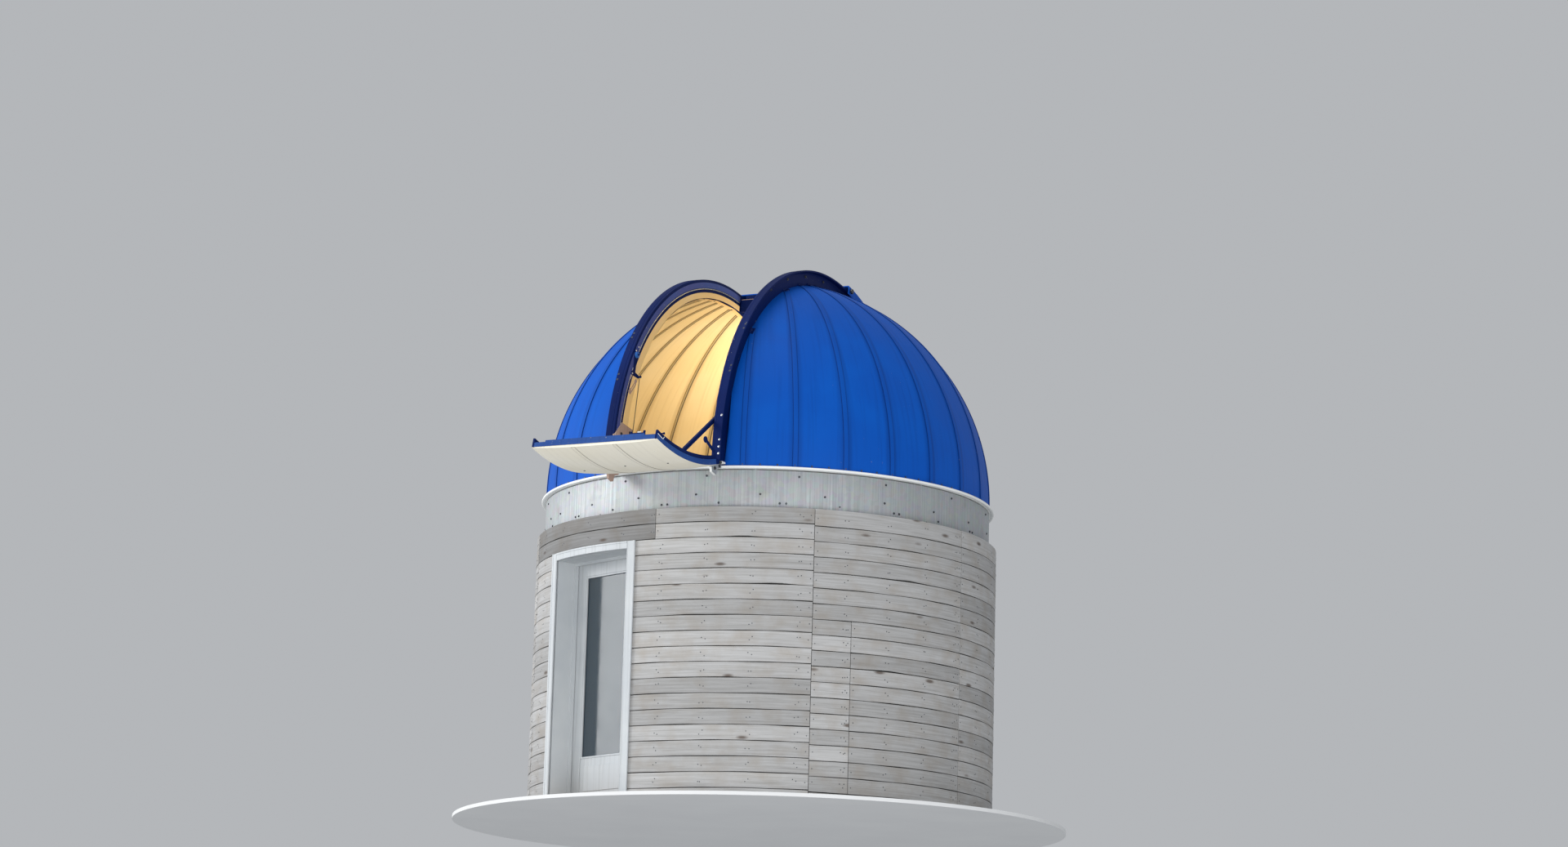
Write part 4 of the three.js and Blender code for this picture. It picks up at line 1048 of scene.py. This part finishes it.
# %% Boss on the rail, and the wire clip on the stay bar's upper end
BOSS = [[0.020, -0.002], [0.020, 0.0085], [0.0185, 0.0098]]
boss = pegs(on_side(0.4303, (1.815, 0.367)), [-1, 0, 0], BOSS, 28)
put("stay_boss", [boss], NAVY, "dome", crease=50)
bends = on_side(np.array([0.4172, 0.410, 0.3975, 0.3972]),
                [(1.815, 0.3848), (1.815, 0.3848), (1.815, 0.3845), (1.815, 0.370)])
clip = runs(bends, np.linspace(0, 1, len(bends)), 16)
put("stay_clip", [tube(clip, 0.0028, 10)], NAVY, "stay", crease=50)

# %% [markdown]
# ## Pulley and rope
# On the left rail a grooved wheel in a folded hanger leads the rope that works the upper
# shutter, and a few thin straps brace the hanger. The rope is held by a peg at each end.
# It is laid rope: three strands, each a round section carried along a helix about the rope's
# middle, which gives the ridges that a plain cylinder with a bumpy finish can't show.

# %% Pulley on the left rail
groove = rounded(
    [[0.008, -0.009], [0.0255, -0.009], [0.0262, -0.007], [0.0248, -0.0045], [0.021, -0.003],
     [0.021, 0.003], [0.0248, 0.0045], [0.0262, 0.007], [0.0255, 0.009], [0.008, 0.009]], 0.0008, 1,
)
hub = [[0.004, -0.0155], [0.009, -0.0155], [0.009, 0.0145], [0.004, 0.0145]]
ROPE_X = -0.410  # the wheel's middle, which the rope lines up with
wheel_at = on_side(ROPE_X, (1.590, 0.975))[0]
put("pulley_wheel", [turned(groove, wheel_at, [1, 0, 0], 48)], PULLEY, "dome")
hanger = rounded(
    [[1.575, 1.028], [1.598, 1.022], [1.612, 0.975], [1.622, 0.850], [1.655, 0.828],
     [1.655, 0.806], [1.532, 0.796], [1.527, 0.820], [1.590, 0.835], [1.575, 0.900],
     [1.568, 0.975]], 0.006, 2,
)
put("pulley_hanger",
    [plate(hanger, FACE_X, -0.4237), turned(hub, wheel_at, [1, 0, 0], 24), peg_at(upper_peg)],
    NAVY, "dome", hides=["jamb_pulley"], bevel=0.0008)
at = on_side(np.array([-0.4237, -0.4237, -0.4270]), [(1.587, 1.012), (1.64, 0.817), (1.539, 1.050)])
put("pulley_screws", [pegs(at, [1, 0, 0], ROUND_HEAD, 10)], BRIGHT, "dome")


def strap_between(start, stop, half, x0, x1):
    """A flat strap between two places (forward, above the flange): the ends plus and minus half."""
    start, stop = np.array(start), np.array(stop)
    side = np.array([start[1] - stop[1], stop[0] - start[0]])
    side *= half / np.hypot(*side)
    return plate([start - side, stop - side, stop + side, start + side], x0, x1)


stays = [
    strap_between((1.640, 0.806), (1.664, 0.771), 0.0065, -0.4270, -0.4245),
    strap_between((1.584, 0.760), (1.680, 0.659), 0.0030, -0.4270, -0.4225),
    strap_between((1.569, 0.746), (1.665, 0.645), 0.0030, -0.4270, -0.4225),
    strap_between((1.562, 0.778), (1.588, 0.753), 0.0130, -0.4278, -0.4240),
    strap_between((1.652, 0.686), (1.680, 0.654), 0.0130, -0.4298, -0.4240),
]
put("pulley_stays", stays, PRIMER, "dome", bevel=0.0004)

# %% Rope between the two pegs
LAY = 0.022  # a strand goes once round in 22 mm
STRAND_R, HELIX_R = 0.00185, 0.0021  # a strand, and the circle that its middle runs on
PEG_GAP = 0.0085  # the rope starts at the peg's side
lean = upper_peg - lower_peg
peg_span = np.hypot(*lean)
along = np.array([0, -lean[0], lean[1]]) / peg_span
square = np.array([0, along[2], -along[1]])
start = on_side(ROPE_X, lower_peg)[0]
share = np.linspace(PEG_GAP, peg_span - PEG_GAP, 240)[:, None]
strands = []
for k in range(3):
    phase = 2 * np.pi * (k / 3 + share / LAY)
    path = start + along * share + HELIX_R * (np.cos(phase) * [1, 0, 0] + np.sin(phase) * square)
    strands.append(carried(circle(STRAND_R, 8), path, [1, 0, 0], square))
put("shutter_rope", strands, ROPE, "dome", hides=["jamb_rope"], crease=80)
print(f"rope between the pegs: {peg_span - 2 * PEG_GAP:.3f} m")

# %% [markdown]
# ## The fixed ring
# Under the dome a ring of galvanised sheet stands on the wall. It is one deep band with a
# rolled top edge, lapped where its lengths meet, and bolted to the frame behind in three rows.
# The wheels that the dome runs on sit in its top edge. Copies by an array modifier would space
# the bolts evenly, but real rows drift against each other, so each row has its own bearings.

# %% Roll the ring
RING_R = 1.7998  # the band's outer face
band = oblong(1.742, RING_R, 2.2505, 2.5445, 0.0035, 2)
turn_at = np.radians(np.arange(0, 360, 2.0))
ring = carried(band, np.zeros((len(turn_at), 3)), outward(turn_at), [0, 0, 1], loop=True)
where = np.arctan2(ring.points[:, 0], -ring.points[:, 1])
# lengths round the ring and up it
ring = ring._replace(uv=np.stack([where * OUT_R, ring.points[:, 2]], 1))
put("ring_band", [ring], ZINC, "base", hides=["fixed_ring"])
lap = oblong(1.7985, 1.8025, 2.2515, 2.5435, 0.001)
laps = [
    carried(lap, np.zeros((3, 3)), outward(np.radians(degrees + np.array([-0.9, 0, 0.9]))), [0, 0, 1])
    for degrees in (44, 164, 284)
]
put("ring_laps", laps, ZINC, "base")

# %% Bolt the ring and set its wheels
def bearings(degrees, radius, z):
    """Points and outward directions at bearings counted from the slit towards +x."""
    out = outward(np.radians(np.asarray(degrees, float)))
    return out * [radius, radius, 0] + [[0, 0, 1]] * np.reshape(z, (-1, 1)), out


rows = [
    bearings(np.arange(-35.3, 324, 22.85), RING_R, 2.500),
    bearings(np.arange(-40.2, 319, 16.0), RING_R, 2.355),
    bearings(np.arange(-46.4, 313, 15.0), RING_R, 2.287),
    bearings(np.arange(0.2, 360, 30.0), RING_R, 2.287),
    bearings([-20.8, 69.2, 159.2, 249.2], RING_R, 2.259),
]
SMALL = [[0.0095, -0.001], [0.0095, 0.0015], [0.007, 0.002], [0.0068, 0.006], [0.004, 0.0068]]
put("ring_bolts", [pegs(at, out, SMALL, 6) for at, out in rows], BOLT, "base")
at, out = bearings((np.arange(8) + 0.5) * 45.0, 1.753, 2.5357)
TIRE = [[0.006, 0.0], [0.0150, 0.0], [0.0160, 0.002], [0.0160, 0.036], [0.0150, 0.038], [0.006, 0.038]]
put("ring_wheels", [pegs(at, out, TIRE, 28)], BRIGHT, "base")

# %% [markdown]
# ## The wall
# The wall is a timber frame, sheeted black, and clad with level boards 120 mm apart that are
# bent round it. Each board is its own closed body, a section with eased edges carried along
# its arc, with a little wander in its edges, because that wander and the dark gaps are what
# the eye reads as real cladding.

# %% Line and sheet the frame
DOOR_AT, DOOR_CLEAR = -22.8, 14.6  # the doorway's bearing, and half its width in degrees
WALL_TOP = 2.25
BOARD_IN, BOARD_OUT = 1.8395, 1.8605  # the boards' inner and outer radius
COURSE = 0.120  # from one board to the next
GRAIN_R = 1.86  # turns a bearing into a length along the board, for its grain
rng = np.random.default_rng(7)


def arc_body(section, start, stop, step=3.0, uv_from=0.0, shift=None):
    """A section of (radius, z) points carried level round the axis between two bearings."""
    count = max(3, int((stop - start) / step) + 1)
    turn_by = np.radians(np.linspace(start, stop, count))
    section = np.tile(section, (count, 1, 1))
    if shift is not None:
        section = section + shift(np.degrees(turn_by), section)
    shape = carried(section, np.zeros((count, 3)), outward(turn_by), [0, 0, 1])
    arc = np.repeat(turn_by, section.shape[1]) * GRAIN_R
    return shape._replace(uv=np.stack([arc, shape.points[:, 2]], 1) + uv_from)


# inner and outer radius, foot, underside over the door, eased corner, half the doorway in degrees
for name, r0, r1, foot, head, ease, half, finish in (
    ("wall_lining", 1.611, 1.80, 0.0705, 1.9915, 0.002, 17.2, PLY),
    ("wall_membrane", 1.803, 1.8385, 0.001, 1.9925, 0.001, 15.3, MEMBRANE),
):
    start, stop = DOOR_AT + half, DOOR_AT - half + 360
    full = oblong(r0, r1, foot, WALL_TOP - CLEAR, ease)
    short = oblong(r0, r1, head, WALL_TOP - CLEAR, ease)
    over = arc_body(short, stop - 360 + 0.02, start - 0.02)
    put(name, [arc_body(full, start, stop, step=2.5), over], finish, "base")

# %% Clad it with boards
# gaps between boards: the course, the bearing, how far it spreads in degrees, how wide it opens
GAPS = [(1, 20.5, 3.0, 0.007), (4, 28.0, 4.0, 0.006), (3, 62.0, 3.5, 0.008), (9, 57.0, 4.0, 0.006),
        (6, 8.0, 4.0, 0.004), (5, 150.0, 4.0, 0.006), (8, 230.0, 5.0, 0.006)]
JOINTS = [37.0, 81.0, 127.0, 172.0, 217.0, 262.0, 307.0]  # bearings where board ends meet
LOW_JOINT = 46.6  # one more joint from the eighth course down
STUDS = 11.25  # degrees from stud to stud
END_NAIL = 0.8  # degrees from a board's end to its last nail
END_GAP = 0.07  # half the gap between two boards' ends, in degrees


def wander(wave, dents, middle):
    """Edges move by two slow waves of a millimetre, and rise where a board has bowed."""
    def shift(degrees, points):
        move = 0.0011 * np.sin(degrees / 5 + wave[0]) + 0.0007 * np.sin(degrees / 2.1 + wave[1])
        lift = sum(d * np.exp(-(((degrees - c) / w) ** 2)) for c, w, d in dents)
        under = points[..., 1] < middle
        up = move[:, None] + np.where(under, np.reshape(lift, (-1, 1)), 0.0)
        return np.stack([0 * up, up], -1)

    return shift


boards, nails = [], []
for course in range(19):
    top = WALL_TOP - COURSE * course
    over_door = course < 2  # these two run all round, from a joint at -1.8 degrees
    start = -1.8 if over_door else DOOR_AT + DOOR_CLEAR
    stop = 358.2 if over_door else DOOR_AT - DOOR_CLEAR + 360
    joints = JOINTS + ([LOW_JOINT] if course >= 7 else [])
    cuts = np.sort([start, stop] + [j for j in joints if start + 4 < j < stop - 4])
    for a, b in zip(cuts[:-1], cuts[1:]):
        # right of the joint at 37 degrees and round the back the courses lie 15 mm lower
        drop = 0.015 if 36.9 < a < 262 else 0.0
        high = top - (drop if course else 0)
        low = max(top - COURSE - drop, 0.0)
        if high - low < 0.02:
            continue
        middle = (high + low) / 2
        outer = BOARD_OUT + rng.uniform(-0.0012, 0.0012)
        section = oblong(BOARD_IN, outer, low + 0.003, high - 0.0025, 0.0035, 2)
        wave = rng.uniform(0, 6.28, 3)
        bowed = wander(wave, [gap[1:] for gap in GAPS if gap[0] == course], middle)
        body = arc_body(section, a + END_GAP, b - END_GAP, 2.5, rng.uniform(0, 40, 2), bowed)
        tone = rng.uniform(-0.45, 0.45) * 0.5
        # the two boards over the door are darker than the rest
        tone = -0.7 if over_door and a > 262 else tone
        boards.append(body._replace(tone=np.full(len(body.points), tone)))
        studs = np.arange(np.ceil((a + 2) / STUDS) * STUDS, b - 1, STUDS)
        studs = np.concatenate([[a + END_NAIL], studs, [b - END_NAIL]])
        inside = (END_NAIL < studs - a) & (studs - a < b - a - END_NAIL)
        # two nails at each stud, one at each end of the board
        row = [stud + step for stud, pair in zip(studs, inside)
               for step in ((-0.35, 0.35) if pair else (0.0,))]
        stray = rng.uniform([-0.15, -0.018], [0.15, 0.018], (len(row), 2))
        nails.append(bearings(row + stray[:, 0], outer - 0.0006, middle + stray[:, 1]))
walls = ["wall_right_front", "wall_right", "wall_right_rear", "wall_left_rear", "wall_left",
         "wall_left_front", "door_lintel"]
put("wall_boards", boards, BOARDS, "base", hides=walls)
NAIL = [[0.0045, -0.001], [0.0045, 0.0012], [0.003, 0.0018]]
at, out = (np.concatenate(part) for part in zip(*nails))
put("wall_nails", [pegs(at, out, NAIL, 6)], BOLT, "base")
print(len(boards), "boards")

# %% [markdown]
# ## The door
# The doorway is set deep in the wall. Its casing has a broad flat band with a raised band round
# the outside, which gives the double line seen on the real one. The leaf is framed: two stiles,
# a top rail and a deep bottom rail round one pane that is held by beads. Boxes with soft edges
# are enough for such joinery; only the casings need a moulded section that is carried along.

# %% Mould the casings
CASING_R = 1.864  # widths along the wall are measured at this radius
CASING_HALF = np.degrees(np.arcsin(0.4325 / CASING_R))  # half the opening between the casings
CASING_MID = CASING_HALF + np.degrees(0.0375 / CASING_R)  # a casing's middle
# the casing's section: lengths along the wall, and radius
MOULD = np.array([
    [-0.0372, 1.8655], [0.0372, 1.8655], [0.0372, 1.8780], [0.0355, 1.8788], [0.0215, 1.8788],
    [0.0195, 1.8775], [0.0190, 1.8745], [-0.0290, 1.8745], [-0.0310, 1.8765], [-0.0350, 1.8765],
    [-0.0372, 1.8745],
])
upright = np.array([[0, 0, 0.001], [0, 0, 2.0095]])
casings = []
for side in (-1, 1):
    turn_by = np.radians(DOOR_AT + side * CASING_MID)
    tangent = side * np.array([np.cos(turn_by), np.sin(turn_by), 0])
    casings.append(carried(MOULD, upright, tangent, outward(turn_by)))
head = MOULD[:, ::-1] * [1.0, 0.79] + [0, 1.9799]
casings.append(arc_body(head, DOOR_AT - CASING_HALF + 0.03, DOOR_AT + CASING_HALF - 0.03, 1.5))
put("door_casings", casings, TRIM, "base", bevel=0.001,
    hides=["door_casing_left", "door_casing_right", "door_casing_head"])

# %% Frame the leaf
turn_by = np.radians(DOOR_AT)


def at_door(points):
    """Door sizes (along the leaf, out from the axis, up) to the frame: a turn of the bearing."""
    t, n, z = np.asarray(points).T
    return np.stack([t * np.cos(turn_by) + n * np.sin(turn_by),
                     t * np.sin(turn_by) - n * np.cos(turn_by), z], 1)


LEFT, RIGHT, LOW, HIGH = -0.4265, 0.4245, 0.076, 1.943  # the leaf's edges
STILE, DEEP = 0.105, 0.320  # width of the stiles, depth of the bottom rail
IN, OUT = 1.560, 1.605  # the leaf's faces, measured from the axis
t0, t1, z0, z1 = LEFT + STILE, RIGHT - STILE, LOW + DEEP, HIGH - STILE  # the pane's opening
leaf_parts = [
    ((LEFT, IN, LOW), (t0 - CLEAR, OUT, HIGH)), ((t1 + CLEAR, IN, LOW), (RIGHT, OUT, HIGH)),
    ((t0, IN, z1), (t1, OUT, HIGH)), ((t0, IN, LOW), (t1, OUT - 0.006, z0)),
    ((t0 + 0.05, OUT - 0.0065, LOW + 0.06), (t1 - 0.05, OUT - CLEAR, z0 - 0.06)),
]
put("door_frame_parts", [moved(block(*pair), at_door) for pair in leaf_parts], TRIM, "door",
    hides=["door_leaf"], bevel=0.0025)
BEAD_W = 0.014  # width of the beads that hold the pane
s0, s1 = t0 + BEAD_W + 0.0002, t1 - BEAD_W - 0.0002
beads = []
for n0, n1 in ((1.5885, 1.602), (1.563, 1.5755)):
    for pair in (((t0, n0, z0), (t0 + BEAD_W, n1, z1)), ((t1 - BEAD_W, n0, z0), (t1, n1, z1)),
                 ((s0, n0, z0), (s1, n1, z0 + BEAD_W)), ((s0, n0, z1 - BEAD_W), (s1, n1, z1))):
        beads.append(moved(block(*pair), at_door))
put("door_beads", beads, TRIM, "door", bevel=0.003)

# %% Handles of the door
HANDLE_X, LEVER_Z = RIGHT - 0.052, 1.081
for word, face, sense in (("outside", 1.6053, 1), ("inside", 1.5597, -1)):
    low, high = sorted((face, face + sense * 0.009))
    rose = block((HANDLE_X - 0.022, low, 0.960), (HANDLE_X + 0.022, high, 1.130))
    bends = [[HANDLE_X - back, face + sense * out_by, LEVER_Z] for back, out_by in
             ((0, 0), (0, 0.038), (0.012, 0.047), (0.118, 0.046))]
    grip = tube(runs(bends, [0, 0.3, 0.45, 1], 14), 0.0085, 14)
    put(f"door_lever_{word}", [moved(rose, at_door), moved(grip, at_door)], BRIGHT, "door",
        hides=[f"door_handle_{word}"], crease=50, bevel=0.0015)

# %% [markdown]
# ## Finishes of the kept solids
# The plates, jambs and pins whose CAD shape is right only change their paint. A floor of bare
# planks needs its own pattern, since a CAD solid has no UV map: planks are cut from the
# object's coordinates instead.

# %% Paint what stays
PLANK, GAP_SHARE = 0.140, 0.03  # boards 140 mm wide, with gaps of 4 mm


def planks(name, light, dark, gap):
    """Bare floor boards along x: y over their width gives the board's number and its gap."""
    material, tree, shader, place = begin(name)
    split = add(tree, "SeparateXYZ", {"Vector": place["Object"]})
    width = add(tree, "Math", {0: split["Y"], 1: 1 / PLANK}, operation="MULTIPLY")
    share = add(tree, "Math", {0: width[0]}, operation="FRACT")
    number = add(tree, "Math", {0: width[0]}, operation="FLOOR")
    tint = add(tree, "TexWhiteNoise", {"W": number[0]}, noise_dimensions="1D")
    drawn = add(tree, "Mapping", {"Vector": place["Object"], "Scale": (2.2, 60, 60)})
    grain = add(tree, "TexNoise", {"Vector": drawn[0], "Scale": 1.0, "Detail": 7})
    mixed = add(tree, "Mix", {"Factor": grain[0], 6: srgb(light), 7: srgb(dark)}, data_type="RGBA")
    toned = add(
        tree, "Mix", {"Factor": 0.35, 6: mixed[2], 7: tint["Value"]},
        data_type="RGBA", blend_type="SOFT_LIGHT",
    )
    edge = add(tree, "Math", {0: share[0], 1: GAP_SHARE}, operation="LESS_THAN")
    lined = add(tree, "Mix", {"Factor": edge[0], 6: toned[2], 7: srgb(gap)}, data_type="RGBA")
    relief = add(tree, "Bump", {"Strength": 0.4, "Distance": 0.002, "Height": grain[0]})
    add(tree, shader, {"Base Color": lined[2], "Roughness": 0.7, "Normal": relief[0]})
    return material


FLOOR = planks("bare spruce floor boards", "#b39673", "#8a6d4c", "#2a2018")
paint = {
    FLOOR: ["floor", "door_sill"],
    TRIM: ["door_jamb_hinge", "door_jamb_latch", "door_head"],
    GLASS: ["door_pane"],
    BRIGHT: ["door_hinge_lower", "door_hinge_upper"],
    PRIMER: ["flap_bracket_left"],
    ZINC: ["flap_bracket_right"],
    NAVY: ["flap_frame_right", "flap_frame_left", "stay_bar"],
}
for material, names in paint.items():
    for name in names:
        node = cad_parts[name]
        for slot in node.material_slots:
            slot.material = material
print("kept solids painted:", sum(len(names) for names in paint.values()))

# %% [markdown]
# ## Floor and light
# The camera looks up from below the ground line, so a wide floor would hide the object. A small
# pale disc stands in for it. A large soft key from the left front, a fill from the right, a top
# and a side light give the even light of a studio. A low lamp reaches the flap's underside, and
# a small warm one inside shows the lining.

# %% Lay the floor and set the lights
def studio_paint():
    """Matt pale paint for the stage."""
    material, tree, shader, place = begin("pale studio floor")
    cloud = add(tree, "TexNoise", {"Vector": place["Object"], "Scale": 1.5})
    colour = add(
        tree, "Mix", {"Factor": cloud[0], 6: srgb("#d9dadb"), 7: srgb("#e3e4e4")},
        data_type="RGBA",
    )
    add(tree, shader, {"Base Color": colour[2], "Roughness": 0.9})
    return material


DISC_EDGE = [[0.001, -0.03], [2.45, -0.03], [2.45, -0.002], [0.001, -0.002]]
disc = turned(DISC_EDGE, np.zeros(3), [0, 0, 1], 128)
mesh = bpy.data.meshes.new("stage_floor")
mesh.from_pydata(disc.points, [], disc.faces[0].tolist())
mesh.materials.append(studio_paint())
floor = bpy.data.objects.new("stage_floor", mesh)
bpy.context.scene.collection.objects.link(floor)


def lamp(name, at, aim, size, energy, code="#ffffff"):
    """A round area light of a given size that faces a point."""
    light = bpy.data.lights.new(name, "AREA")
    light.shape, light.size, light.energy, light.color = "DISK", size, energy, srgb(code)[:3]
    holder = bpy.data.objects.new(name, light)
    bpy.context.scene.collection.objects.link(holder)
    holder.location = at
    aim = Vector(aim) - Vector(at)
    holder.rotation_euler = aim.to_track_quat("-Z", "Y").to_euler()


lamp("key", (-10.5, -8.0, 5.5), (0, 0, 2.6), 6.0, 950)
lamp("fill", (9.0, -9.0, 2.0), (0, 0, 2.6), 6.0, 360)
lamp("top", (-1.0, -3.5, 11.0), (0, 0, 2.6), 6.0, 260)
lamp("side", (-12.0, -3.0, 3.0), (0, 0, 2.8), 5.0, 300)
lamp("low", (3.0, -12.0, -2.0), (0, -1.5, 2.3), 5.0, 480)
lamp("inside", (0.0, 0.6, 3.5), (-0.8, 0.7, 3.9), 0.35, 17, "#fff3e0")
world = bpy.data.worlds.new("pale studio")
world.use_nodes = True
world.node_tree.nodes["Background"].inputs["Color"].default_value = srgb("#dfe2e6")
world.node_tree.nodes["Background"].inputs["Strength"].default_value = 0.62
bpy.context.scene.world = world
bpy.context.scene.view_settings.view_transform = "Standard"
